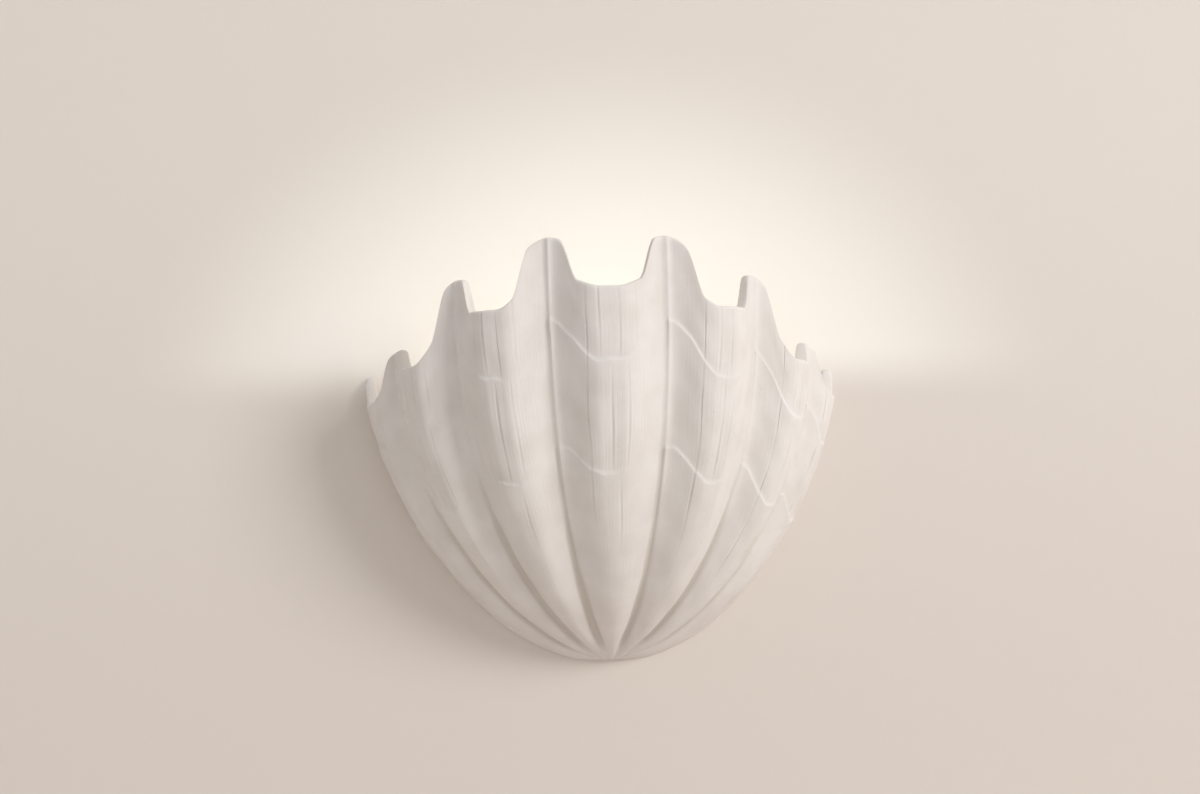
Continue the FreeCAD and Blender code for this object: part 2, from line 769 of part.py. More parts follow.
def make_lampholder():
    """The moulded base and skirt, the brass screw shell and the centre contact."""
    base = turned("lampholder_base", [
        ("nipple_radius", "0"),
        ("holder_radius - 1", "0"),
        ("holder_radius", "1"),
        ("holder_radius", "holder_base_height - holder_floor"),
        ("holder_radius - holder_wall", "holder_base_height - holder_floor"),
        ("holder_radius - holder_wall", "holder_base_height"),
        ("contact_width / 2 + 1", "holder_base_height"),
        ("contact_width / 2 + 1", "holder_base_height - holder_floor"),
        ("nipple_radius + 1", "holder_floor"),
        ("nipple_radius", "holder_floor"),
    ])
    place(base, "0", LAMP_Y, SHELF_TOP)
    keep(base, "lampholder_base")

    low = "holder_base_height - holder_floor"
    skirt = turned("lampholder_skirt", [
        ("holder_radius - holder_wall", low),
        ("holder_radius", low),
        ("holder_radius - 1.2", "holder_base_height + holder_skirt_height - 1"),
        ("holder_radius - 2.2", "holder_base_height + holder_skirt_height"),
        ("cap_radius + cap_play + screw_shell_sheet", "holder_base_height + holder_skirt_height"),
        ("cap_radius + cap_play + screw_shell_sheet", "holder_base_height + holder_skirt_height - 3"),
        ("holder_radius - holder_wall - 1.2", "holder_base_height + holder_skirt_height - 5"),
        ("holder_radius - holder_wall", "holder_base_height"),
    ])
    place(skirt, "0", LAMP_Y, SHELF_TOP)
    keep(skirt, "lampholder_skirt")

    thread = turned("screw_shell", [
        ("contact_width / 2 + 1.5", "0"),
        ("cap_radius + cap_play + screw_shell_sheet", "0"),
        ("cap_radius + cap_play + screw_shell_sheet", "holder_skirt_height - 1"),
        ("cap_radius + cap_play", "holder_skirt_height - 1"),
        ("cap_radius + cap_play", "screw_shell_sheet"),
        ("contact_width / 2 + 1.5", "screw_shell_sheet"),
    ])
    place(thread, "0", LAMP_Y, BASE_TOP)
    keep(thread, "screw_shell")

    body = new_body("centre_contact")
    outline = new_sketch(body, "YZ_Plane")
    top = CONTACT_TOP
    add_outline(outline, [
        ("-contact_width / 2", "-holder_floor"),
        ("contact_width / 2", "-holder_floor"),
        ("contact_width / 2", top),
        ("-contact_width / 2", top),
        ("-contact_width / 2", top + " - contact_sheet"),
        ("contact_width / 2 - contact_sheet", top + " - contact_sheet"),
        ("contact_width / 2 - contact_sheet", "-holder_floor + contact_sheet"),
        ("-contact_width / 2", "-holder_floor + contact_sheet"),
    ])
    pad(body, outline, "contact_width - 1", midplane=True)
    place(body, "0", LAMP_Y, BASE_TOP)
    keep(body, "centre_contact")


# ---------------------------------------------------------------- the lamp

CONTACT_TOP = "holder_skirt_height - cap_length - insulator_height - tip_height - tip_play"
CAP_TOP = HOLDER_TOP


def make_lamp():
    """The globe lamp: contact, insulator, screw cap, collar, board and frosted globe."""
    tip = turned("bulb_contact", [
        ("0", "-cap_length - insulator_height - tip_height"),
        ("tip_radius * 0.6", "-cap_length - insulator_height - tip_height"),
        ("tip_radius", "-cap_length - insulator_height - tip_height * 0.5"),
        ("tip_radius", "-cap_length - insulator_height"),
        ("0", "-cap_length - insulator_height"),
    ])
    insulator = turned("bulb_insulator", [
        ("0", "-cap_length - insulator_height"),
        ("tip_radius + 0.8", "-cap_length - insulator_height"),
        ("cap_radius - 1", "-cap_length"),
        ("0", "-cap_length"),
    ])
    cap = turned("bulb_cap", [
        ("0", "-cap_length"),
        ("cap_radius - 0.8", "-cap_length"),
        ("cap_radius", "-cap_length + 1"),
        ("cap_radius", "1"),
        ("0", "1"),
    ])
    collar = turned("bulb_collar", [
        ("0", "1"),
        ("cap_radius + 1", "1"),
        ("cap_radius + 1.6", "4"),
        ("collar_radius - 1.6", "collar_height * 0.72"),
        ("collar_radius", "collar_height"),
        ("0", "collar_height"),
    ])
    board = turned("led_board", [
        ("0", "collar_height"),
        ("collar_radius - globe_wall * 2.5", "collar_height"),
        ("collar_radius - globe_wall * 2.5", "collar_height + board_sheet"),
        ("0", "collar_height + board_sheet"),
    ])
    for label, item in (("bulb_contact", tip), ("bulb_insulator", insulator), ("bulb_cap", cap),
                        ("bulb_collar", collar), ("led_board", board)):
        place(item, "0", LAMP_Y, CAP_TOP)
        keep(item, label)

    centre = "%s + collar_height + sqrt(globe_radius ^ 2 - collar_radius ^ 2)" % CAP_TOP
    outer = doc.addObject("Part::Sphere", "globe_outside")
    bind(outer, "Radius", "globe_radius")
    bind(outer, "Angle1", "-acos(collar_radius / globe_radius)")
    place(outer, "0", LAMP_Y, centre)
    hollow = "globe_radius - globe_wall"
    inner = turned("globe_inside", [("0", "-(%s)" % hollow)] + [
        ("(%s) * cos(%d)" % (hollow, angle), "(%s) * sin(%d)" % (hollow, angle))
        for angle in range(-60, 90, 30)
    ] + [("0", hollow)])
    place(inner, "0", LAMP_Y, centre)
    keep(without("globe", outer, [inner]), "bulb_globe")


# ---------------------------------------------------------------- terminals and leads

BLOCK_LOW = "block_level - block_height / 2"
PORT_Y = "-plate_depth - block_depth / 2"
BARREL_Y = "-plate_depth - lead_radius - ring_sheet"
BARREL_BOTTOM = "earth_side + ring_radius - barrel_lap + barrel_wall"
BARREL_END = "earth_side + ring_radius - barrel_lap + barrel_length"


def make_terminals():
    """The three-pole block, its clamp screws, the grommet and the earth screw."""
    case = block("block_case", "block_width", "block_depth", "block_height", "block_side",
                 "-plate_depth - block_depth", BLOCK_LOW)
    tools = []
    screws = []
    for pole in (-1, 0, 1):
        x = "block_side + %d * pole_pitch" % pole
        for end, z in ((0, BLOCK_LOW), (1, BLOCK_LOW + " + block_height - port_depth")):
            tools.append(cylinder("port_%d_%d" % (pole + 1, end), "port_radius", "port_depth", x, PORT_Y, z))
            level = "%s + %s" % (BLOCK_LOW, "port_depth / 2" if end == 0 else "block_height - port_depth / 2")
            depth = "block_depth / 2 - port_radius"
            tools.append(cylinder("well_%d_%d" % (pole + 1, end), "terminal_screw_radius + hole_play",
                                  depth, x, "-plate_depth - block_depth / 2 - port_radius", level, FACING_ROOM))
            screws.append(cylinder("clamp_%d_%d" % (pole + 1, end), "terminal_screw_radius",
                                   depth + " - 1", x, "-plate_depth - block_depth / 2 - port_radius", level,
                                   FACING_ROOM))
    keep(without("terminal_block_whole", case, tools), "terminal_block")
    group = doc.addObject("Part::Compound", "terminal_screw_set")
    group.Links = screws
    keep(group, "terminal_screws")

    grommet = turned("wire_grommet", [
        ("grommet_bore_radius", "-plate_sheet - grommet_flange"),
        ("grommet_hole_radius + grommet_flange", "-plate_sheet - grommet_flange"),
        ("grommet_hole_radius + grommet_flange", "-plate_sheet"),
        ("grommet_hole_radius", "-plate_sheet"),
        ("grommet_hole_radius", "0"),
        ("grommet_hole_radius + grommet_flange", "0"),
        ("grommet_hole_radius + grommet_flange", "grommet_flange * 0.6"),
        ("grommet_bore_radius + 0.6", "grommet_flange"),
        ("grommet_bore_radius", "grommet_flange"),
    ])
    place(grommet, "0", PLATE_FRONT, "grommet_level", FACING_ROOM)
    keep(grommet, "wire_grommet")

    earth = screw("earth_screw", "machine_screw_radius", "bracket_screw_length")
    place(earth, "earth_side", "-plate_depth - ring_sheet", "earth_level", FACING_ROOM)
    keep(earth, "earth_screw")

    body = new_body("ring_terminal")
    sketch = new_sketch(body, "XZ_Plane")
    add_circle(sketch, "0", "0", "ring_radius")
    add_circle(sketch, "0", "0", "machine_screw_radius")
    pad(body, sketch, "ring_sheet")
    place(body, "earth_side", PLATE_FRONT, "earth_level")
    barrel = cylinder("ring_barrel", "lead_radius + ring_sheet", "barrel_length",
                      "earth_side + ring_radius - barrel_lap", BARREL_Y, "earth_level", FACING_RIGHT)
    bore = cylinder("ring_bore", "lead_radius", "barrel_length", BARREL_BOTTOM, BARREL_Y, "earth_level",
                    FACING_RIGHT)
    keep(without("ring_whole", joined("ring_parts", [body, barrel]), [bore]), "ring_terminal")


def rounded_path(points):
    """Straight runs joined by tangent arcs that are as large as the runs allow."""
    edges = []
    start = points[0]
    radii = []
    for before, corner, after in zip(points, points[1:], points[2:]):
        back = before - corner
        forth = after - corner
        turn = math.pi - back.getAngle(forth)
        reach = CORNER_SHARE * min(back.Length, forth.Length)
        radii.append(reach / math.tan(turn / 2))
        back.normalize()
        forth.normalize()
        enter = corner + back * reach
        leave = corner + forth * reach
        middle = back + forth
        middle.normalize()
        bow = radii[-1] / math.cos(turn / 2) - radii[-1]
        edges.append(Part.LineSegment(start, enter).toShape())
        edges.append(Part.Arc(enter, corner + middle * bow, leave).toShape())
        start = leave
    edges.append(Part.LineSegment(start, points[-1]).toShape())
    return Part.Wire(edges), radii


def make_lead(label, points):
    """One insulated lead along its whole route between its two terminals."""
    path, radii = rounded_path(points)
    radius = size("lead_radius")
    section = Part.Wire(Part.makeCircle(radius, points[0], points[1] - points[0]))
    solid = path.makePipeShell([section], True, False)
    expected = math.pi * radius ** 2 * path.Length
    print("%s: length %.1f, least radius %.1f, volume ratio %.4f"
          % (label, path.Length, min(radii), solid.Volume / expected))
    item = doc.addObject("Part::Feature", label + "_tube")
    item.Shape = solid
    item.Placement = Placement()
    keep(item, label)


def make_leads():
    """Live and neutral go up through the nipple, and earth goes to the plate."""
    port_y = size(PORT_Y)
    port_z = size(BLOCK_LOW) + size("port_depth")
    lamp_y = size(LAMP_Y)
    inside = size("shelf_level + bracket_sheet + holder_floor + lead_stub")
    for label, pole, side in (("live_lead", -1, 1), ("neutral_lead", 0, -1)):
        port_x = size("block_side + %d * pole_pitch" % pole)
        lane = side * size("lead_radius + lead_gap")
        low = size(BLOCK_LOW) - size("lead_sag")
        if side < 0:
            low -= size("lead_spacing")
        make_lead(label, [
            Vector(port_x, port_y, port_z),
            Vector(port_x, port_y, low),
            Vector((port_x + lane) / 2, (port_y + lamp_y) / 2, low - size("lead_dip")),
            Vector(lane, lamp_y, low),
            Vector(lane, lamp_y, inside),
        ])
    port_x = size("block_side + pole_pitch")
    earth_z = size("earth_level")
    make_lead("earth_lead", [
        Vector(port_x, port_y, port_z),
        Vector(port_x, port_y, earth_z),
        Vector(size(BARREL_END + " + barrel_run"), size(BARREL_Y), earth_z),
        Vector(size(BARREL_BOTTOM), size(BARREL_Y), earth_z),
    ])


# ---------------------------------------------------------------- build, check and write

def check_and_write():
    """Stop on any failed object, then write each piece to its own file."""
    doc.recompute()
    for item in doc.Objects:
        if "Invalid" in item.State or "Error" in item.State:
            raise RuntimeError("%s failed: %s" % (item.Label, item.State))
    for label, item in parts:
        if item.Shape.isNull() or not item.Shape.isValid() or not item.Shape.Solids:
            raise RuntimeError("%s has no valid solid" % label)
    os.makedirs("parts", exist_ok=True)
    for label, item in parts:
        item.Shape.exportStep("parts/%s.step" % label)
        print("%-18s solids %d volume %.1f" % (label, len(item.Shape.Solids), item.Shape.Volume))


fill_sheet()
make_shell()
make_hanger()
make_wall_plate()
make_strap()
make_bracket()
make_lampholder()
make_lamp()
make_terminals()
make_leads()
check_and_write()
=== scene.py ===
"""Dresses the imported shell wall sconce: plaster shell, fittings, lamp, wall and studio light.

Lengths in the classes are millimetres unless a name says otherwise; meshes are in metres.
"""
import json
import logging
import math
import random
from dataclasses import dataclass, field
from enum import Enum

import bpy
import numpy as np
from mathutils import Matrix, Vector


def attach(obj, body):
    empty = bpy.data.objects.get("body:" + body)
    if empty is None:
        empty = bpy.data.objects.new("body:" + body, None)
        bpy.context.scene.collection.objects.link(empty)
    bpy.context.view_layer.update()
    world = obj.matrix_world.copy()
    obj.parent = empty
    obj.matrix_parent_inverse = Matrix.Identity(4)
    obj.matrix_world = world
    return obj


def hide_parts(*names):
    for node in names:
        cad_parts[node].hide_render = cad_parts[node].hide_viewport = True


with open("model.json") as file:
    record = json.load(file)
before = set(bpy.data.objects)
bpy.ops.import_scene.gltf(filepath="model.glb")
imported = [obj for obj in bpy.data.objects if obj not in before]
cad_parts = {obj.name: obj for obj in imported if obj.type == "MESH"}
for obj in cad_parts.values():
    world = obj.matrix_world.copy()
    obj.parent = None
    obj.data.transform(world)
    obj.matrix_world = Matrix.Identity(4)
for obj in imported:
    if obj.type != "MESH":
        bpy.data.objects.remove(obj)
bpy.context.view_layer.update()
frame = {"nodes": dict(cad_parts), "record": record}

MM = 0.001
TINY = 1e-9
# a face looks to the front where the y of its normal is below this
FRONTWARD = -0.9
LOG = logging.getLogger("wall_sconce")

Colour = tuple[float, float, float]


class Body(Enum):
    """The CAD bodies that pieces ride on."""

    FIXTURE = "fixture"
    SHADE = "shade"
    LAMP = "lamp"


# ---------------------------------------------------------------- small helpers

def clear_selection() -> None:
    """Deselect every object."""
    if bpy.context.object and bpy.context.object.mode != "OBJECT":
        bpy.ops.object.mode_set(mode="OBJECT")
    bpy.ops.object.select_all(action="DESELECT")


def only(obj: bpy.types.Object) -> None:
    """Make one object the only selected and active one.

    Args:
        obj: The object.
    """
    clear_selection()
    obj.select_set(True)
    bpy.context.view_layer.objects.active = obj


def smooth_rise(value: np.ndarray, low: float, high: float) -> np.ndarray:
    """A smooth rise from 0 at low to 1 at high.

    Args:
        value: Where to read the rise.
        low: The value below which it is 0.
        high: The value above which it is 1.

    Returns:
        The rise, between 0 and 1.
    """
    share = np.clip((value - low) / (high - low), 0.0, 1.0)
    return share * share * (3.0 - 2.0 * share)


def hump(value: np.ndarray, middle: float, width: float) -> np.ndarray:
    """A smooth hump that is 1 high.

    Args:
        value: Where to read the hump.
        middle: The value at its top.
        width: How far from its top it has sunk to about a third.

    Returns:
        The hump, between 0 and 1.
    """
    return np.exp(-((value - middle) / width) ** 2)


def mix(pair: tuple[float, float], share: np.ndarray) -> np.ndarray:
    """A size between the two of a pair: the first where share is 0, the second where it is 1."""
    return pair[0] + (pair[1] - pair[0]) * share


@dataclass(frozen=True)
class Wave:
    """One sine wave over the shell: its height, and how fast it runs up and round."""

    height: float
    up: float
    around: float
    start: float = 0.0

    def at(self, share: np.ndarray | float, angle: np.ndarray | float) -> np.ndarray:
        """Height of the wave at a share of the rim's height and an angle."""
        return self.height * np.sin(self.up * share + self.around * angle + self.start)


@dataclass(frozen=True)
class Ridge:
    """The section of a ridge, or of a groove where its height is negative, in millimetres."""

    height: float
    middle: float
    width: float

    def at(self, off: np.ndarray) -> np.ndarray:
        """Height of the ridge at a distance to the right of its line."""
        return self.height * hump(off, self.middle, self.width)


# ---------------------------------------------------------------- the plaster shell

STEPS = (0.525, 0.81)
PAST_RIM = 1.2
LINE_CUT = Ridge(-0.62, -0.35, 0.65)
LINE_BURR = Ridge(0.34, 0.6, 0.55)
CORD = Ridge(0.95, 0.3, 1.8)
CORD_SIDE = Ridge(-0.35, -2.6, 1.6)
LOW_GROOVE = Ridge(-1.9, -0.6, 2.4)
LINE_STRAY = (Wave(1.0, 9.0, 11.0), Wave(0.6, 23.0, -17.0))
STEP_STRAY = (Wave(0.9, 0.0, 23.0, 0.8), Wave(0.45, 0.0, 57.0), Wave(0.2, 0.0, 113.0))
BROAD_UNEVENNESS = (Wave(0.22, 21.0, 14.0), Wave(1.0, 33.0, 5.0))
FINE_UNEVENNESS = Wave(0.12, -13.0, 51.0)


@dataclass
class Line:
    """One line drawn into a rib: its place on the rib, its depth and the shares at its two ends."""

    across: float
    depth: float
    low: float
    high: float


@dataclass(frozen=True)
class LineKind:
    """Where the lines of one kind lie on their ribs, and how far each may stray."""

    across: float
    stray: tuple[float, float]
    depth: tuple[float, float]
    low: float
    high: float
    low_stray: tuple[float, float] | None = None

    def drawn(self, chance: random.Random) -> Line:
        """Choose one line of this kind.

        Args:
            chance: The seeded source of its differences.

        Returns:
            The line.
        """
        across = self.across + chance.uniform(*self.stray)
        depth = chance.uniform(*self.depth)
        low = self.low
        if self.low_stray:
            low += chance.uniform(*self.low_stray)
        return Line(across, depth, low, self.high)


LINE_KINDS = (
    LineKind(-0.40, (-0.05, 0.05), (0.55, 0.80), 0.24, PAST_RIM, low_stray=(-0.05, 0.08)),
    LineKind(-0.15, (-0.04, 0.04), (0.60, 0.90), STEPS[1], PAST_RIM),
    LineKind(0.11, (-0.03, 0.03), (0.40, 0.70), STEPS[1], PAST_RIM),
    LineKind(0.40, (-0.05, 0.05), (0.35, 0.60), STEPS[1], PAST_RIM),
    LineKind(-0.01, (-0.04, 0.04), (0.60, 0.85), STEPS[0], STEPS[1]),
    LineKind(0.26, (-0.05, 0.05), (0.40, 0.70), STEPS[0], STEPS[1]),
    LineKind(0.18, (-0.05, 0.02), (0.35, 0.60), 0.28, STEPS[0], low_stray=(-0.05, 0.05)),
)


@dataclass
class PlasterShell:
    """The cast half bowl: ribs, furrows, growth steps, drawn lines and rounded rim.

    Shares run from 0 at the umbo to 1 at the rim, and places across a rib from 0 on its crest to 1 in
    the furrow. The pairs rim, scallop, relief and inner_relief hold the size at the wall and the one at
    the front, furrow_softness the one low down and the one at the rim, and steps the shares of the two
    growth steps. The other pairs hold the start and the end of a smooth change.
    """

    # the bowl
    half_width: float = 160.0
    depth: float = 119.8
    inner_depth: float = 115.5
    wall: float = 6.5
    floor_wall: float = 8.0
    umbo_drop: float = 130.0
    umbo_flat: float = 1.2
    lean: float = 4.0
    lean_power: float = 1.2
    side_belly: float = 1.4
    front_belly: float = 1.5
    outward_belly: float = 2.9
    belly_spread: float = 0.45
    front_spread: float = 0.37
    spread_power: int = 3
    cheek: float = 0.18
    crowding: float = 0.058

    # the scalloped rim
    rim: tuple[float, float] = (186.5, 269.0)
    rim_round: float = 2.0
    scallop: tuple[float, float] = (10.5, 17.8)
    scallop_growth: tuple[float, float] = (0.3, 0.8)
    steep_flank: tuple[float, float] = (0.50, 0.79)
    slow_flank: tuple[float, float] = (0.12, 1.0)
    steep_shares: tuple[float, float] = (0.84, 1.0)
    steepness: float = 0.62
    inner_flank_shift: float = 0.12
    rib_level: float = 0.75
    shoulder: float = 3.5
    shoulder_angle: float = 0.61
    shoulder_width: float = 0.21

    # ribs and furrows
    rib_count: int = 7
    relief: tuple[float, float] = (7.3, 13.4)
    relief_growth: tuple[float, float] = (0.15, 0.62)
    relief_power: float = 0.8
    inner_relief: tuple[float, float] = (4.7, 8.4)
    furrow_softness: tuple[float, float] = (0.36, 0.75)
    soft_shares: tuple[float, float] = (0.25, 0.95)
    broad_flank: tuple[float, float] = (0.16, 1.0)
    broad_shares: tuple[float, float] = (0.22, 0.6)
    furrow_sink: float = 0.15
    sink_shares: tuple[float, float] = (0.35, 0.92)
    sink_power: int = 8

    # the carving
    steps: tuple[float, float] = STEPS
    step_lip: float = 0.95
    step_reach: float = 0.02
    step_growth: int = 4
    step_drop: tuple[float, float] = (-0.6, 2.2)
    step_loss: float = 0.93
    step_loss_flank: tuple[float, float] = (-0.12, 0.45)
    step_unevenness: float = 0.15
    line_wander: float = 0.0035
    wander_shares: tuple[float, float] = (0.05, 0.5)
    line_slow_start: tuple[float, float] = (0.0, 0.14)
    line_start: tuple[float, float] = (0.004, 0.03)
    line_end: tuple[float, float] = (-0.05, 0.001)
    line_unevenness: float = 0.3
    cord_strengths: tuple[float, ...] = (0.45, 0.65, 1.0, 0.95, 0.6, 0.45)
    cord_shares: tuple[float, float] = (0.03, 0.3)
    groove_start: tuple[float, float] = (0.01, 0.08)
    groove_end: tuple[float, float] = (0.25, 0.65)
    uneven_shares: tuple[float, float] = (0.1, 0.5)
    edge_sink: float = 0.8
    edge_width: float = 1.1
    edge_shares: tuple[float, float] = (0.0, 0.05)
    seed: int = 7
    lines: list[list[Line]] = field(default_factory=list)

    # the rows and columns of the mesh
    even_columns: int = 6
    flank_start: float = 0.40
    flank_step: float = 0.045
    flank_columns: int = 10
    line_columns: tuple[float, ...] = (-1.7, -1.0, -0.5, -0.1, 0.3, 0.8, 1.6)
    cord_columns: tuple[float, ...] = (-3.2, -1.9, -1.1, -0.5, 0.0, 0.5, 1.1, 1.9, 3.2)
    half_rib: float = 27.0
    least_gap: float = 0.3
    step_rows: tuple[float, ...] = (-7.0, -4.5, -2.8, -1.7, -0.9, -0.3, 0.3, 0.8, 1.4, 2.6, 4.6)
    low_rows: int = 46
    low_crowding: float = 1.5
    low_gap: float = 0.03
    after_step: float = 7.0
    before_step: float = 8.5
    before_rim: float = 0.008
    row_gap: float = 2.7
    inner_rows: int = 44
    inner_crowding: float = 1.25
    inner_texture: float = 0.9
    rim_turns: tuple[float, ...] = (25.0, 50.0, 75.0)
    rim_crown: float = 0.08
    crease_angle: float = 50.0

    @property
    def rib_angle(self) -> float:
        """Angle from one furrow to the next."""
        return math.pi / self.rib_count

    @property
    def mean_rim(self) -> float:
        """Height of the rim over the umbo, half way from the wall to the front."""
        return sum(self.rim) / 2

    def draw_lines(self) -> None:
        """Choose the drawn lines of each rib, with small seeded differences."""
        chance = random.Random(self.seed)
        self.lines = [[kind.drawn(chance) for kind in LINE_KINDS] for _rib in range(self.rib_count)]

    def column_angles(self) -> np.ndarray:
        """Angles of the mesh's columns, close together at each drawn line and furrow.

        Returns:
            Sorted angles from the left wall edge to the right one.
        """
        places: list[float] = []
        for number, rib in enumerate(self.lines):
            middle = (number + 0.5) / self.rib_count - 0.5
            spots = [step / self.even_columns - 1.0 for step in range(2 * self.even_columns + 1)]
            spots += [side * (self.flank_start + self.flank_step * step)
                      for side in (-1, 1) for step in range(self.flank_columns)]
            for line in rib:
                spots += [line.across + offset / self.half_rib for offset in self.line_columns]
            for offset in self.cord_columns:
                spots += [edge + offset / self.half_rib for edge in (-1.0, 1.0)]
            kept: list[float] = []
            for spot in sorted(min(1.0, max(-1.0, spot)) for spot in spots):
                if not kept or spot - kept[-1] > self.least_gap / self.half_rib:
                    kept.append(spot)
            kept[-1] = 1.0
            places += [math.pi * middle + spot * self.rib_angle / 2 for spot in kept[:-1]]
        places.append(math.pi / 2)
        return np.array(places)

    def row_shares(self) -> np.ndarray:
        """Shares of the outer rows, dense at the growth steps.

        Returns:
            The shares from the umbo to the start of the rim's rounding.
        """
        height = self.mean_rim
        rows = [(number / self.low_rows) ** self.low_crowding * (self.steps[0] - self.low_gap)
                for number in range(self.low_rows)]
        for step, above in ((self.steps[0], self.steps[1]), (self.steps[1], 1.0)):
            rows += [step + offset / height for offset in self.step_rows]
            first = step + self.after_step / height
            if above < 1.0:
                last = above - self.before_step / height
            else:
                last = above - (self.rim_round / height + self.before_rim)
            count = max(2, round((last - first) * height / self.row_gap))
            rows += [first + (last - first) * number / count for number in range(count + 1)]
        rows.append(1.0 - self.rim_round / height)
        return np.array(rows)

    def across_rib(self, angle: np.ndarray) -> np.ndarray:
        """Place across the nearest rib, 0 on its crest and 1 in the furrow beside it."""
        turns = angle / self.rib_angle
        return np.abs(turns - np.round(turns)) * 2.0

    @staticmethod
    def blend(pair: tuple[float, float], angle: np.ndarray) -> np.ndarray:
        """A size that goes from its value at the wall to its value at the front."""
        return mix(pair, np.cos(angle) ** 2)

    def rim_height(self, angle: np.ndarray, share: np.ndarray) -> np.ndarray:
        """Height of the scalloped rim over the umbo, with softer flanks for the rows below it.

        Args:
            angle: Meridian of each point.
            share: Share of each point.

        Returns:
            The heights in millimetres.
        """
        across = self.across_rib(angle)
        turns = angle / self.rib_angle
        rib = np.round(turns)
        inner = (np.abs(rib) == 1) & ((turns - rib) * rib < 0)
        shifted = across + np.where(inner, self.inner_flank_shift, 0.0)
        steep = self.steepness * smooth_rise(share, *self.steep_shares)
        rise = steep * smooth_rise(shifted, *self.steep_flank)
        rise = rise + (1.0 - steep) * smooth_rise(across, *self.slow_flank)
        wave = 2.0 * rise - 1.0
        two_waves = 4.0 * math.pi
        levelled = angle - self.rib_level * np.sin(two_waves * turns) * self.rib_angle / two_waves
        depth = mix(self.scallop, smooth_rise(np.cos(angle), *self.scallop_growth))
        shoulder = self.shoulder * hump(np.abs(angle), self.shoulder_angle, self.shoulder_width)
        return self.blend(self.rim, levelled) + shoulder + depth * wave

    def swell(self, angle: np.ndarray, share: np.ndarray, sideways: np.ndarray,
              turned: np.ndarray, inside: bool) -> np.ndarray:
        """How far the ribs stand out from the plain bowl.

        Args:
            angle: Meridian of each point.
            share: Share of each point.
            sideways: How wide the bowl is there, 1 at its widest.
            turned: How far the point is from the front, 1 at the wall.
            inside: Whether the points are on the inside.

        Returns:
            The distances in millimetres.
        """
        across = self.across_rib(angle)
        soft = mix(self.furrow_softness, smooth_rise(share, *self.soft_shares))
        lobe = np.hypot(np.cos(math.pi / 2 * across), soft) - soft
        lobe = lobe / (np.hypot(1.0, soft) - soft)
        if inside:
            return self.blend(self.inner_relief, angle) * sideways * lobe
        broad = 1.0 - smooth_rise(across, *self.broad_flank)
        lobe = lobe + (broad - lobe) * smooth_rise(share, *self.broad_shares)
        sinking = 1.0 - smooth_rise(share, *self.sink_shares)
        lobe = lobe - self.furrow_sink * (1.0 - turned ** self.sink_power) * sinking
        full = mix(self.relief, smooth_rise(np.cos(angle), *self.relief_growth))
        return full * sideways ** self.relief_power * lobe

    def surface(self, angle: np.ndarray, share: np.ndarray, inside: bool = False) -> np.ndarray:
        """Points of the smooth fluted surface.

        Args:
            angle: Meridian of each point.
            share: Share of each point.
            inside: Whether the points are on the inside.

        Returns:
            An array of points in millimetres.
        """
        bottom = self.floor_wall if inside else self.umbo_flat
        half_width = self.half_width - self.wall if inside else self.half_width
        depth = self.inner_depth if inside else self.depth
        height = bottom + share * (self.rim_height(angle, share) - bottom)
        crown = self.blend((self.rim[0] + self.scallop[0], self.rim[1] + self.scallop[1]), angle)
        rise = np.minimum(1.0, (height - bottom + self.umbo_flat) / (crown - bottom + self.umbo_flat))
        bearing = angle + self.crowding * np.sin(2.0 * angle)
        sine = np.sin(bearing)
        cosine = np.where(np.abs(angle) < math.pi / 2 - TINY, np.cos(bearing), 0.0)
        turned = np.clip(np.abs(bearing) / (math.pi / 2), 0.0, 1.0)
        spread = self.belly_spread + self.front_spread * (1.0 - turned ** self.spread_power)
        belly = self.side_belly + self.front_belly * np.abs(cosine)
        sideways = (1.0 - (1.0 - rise) ** belly) ** spread
        outwards = (1.0 - (1.0 - rise) ** self.outward_belly) ** spread
        x = half_width * sine * (1.0 - self.cheek * np.abs(sine) * cosine) * sideways
        x = x + self.lean * np.clip(1.0 - height / crown, 0.0, 1.0) ** self.lean_power
        y = -depth * cosine * outwards
        normal_x = sine / half_width
        normal_y = -cosine / depth
        length = np.hypot(normal_x, normal_y)
        swell = self.swell(angle, share, sideways, turned, inside)
        return np.stack([x + normal_x / length * swell, y + normal_y / length * swell,
                         height - self.umbo_drop], axis=-1)

    @staticmethod
    def normals(points: np.ndarray) -> np.ndarray:
        """Outward directions of a grid of points, level at its two wall edges.

        Args:
            points: The grid.

        Returns:
            A grid of unit vectors.
        """
        along = np.gradient(points, axis=0)
        around = np.gradient(points, axis=1)
        normal = np.cross(around, along)
        normal[:, (0, -1), 1] = 0.0
        length = np.linalg.norm(normal, axis=-1, keepdims=True)
        return normal / np.maximum(length, TINY)

    def wander(self, angle: np.ndarray, share: np.ndarray) -> np.ndarray:
        """How far the drawn lines stray sideways.

        Args:
            angle: Meridian of each point.
            share: Share of each point.

        Returns:
            The changes of angle.
        """
        stray = self.line_wander * sum(wave.at(share, angle) for wave in LINE_STRAY)
        near_crest = 1.0 - self.across_rib(angle) ** 2
        return stray * near_crest * smooth_rise(share, *self.wander_shares)

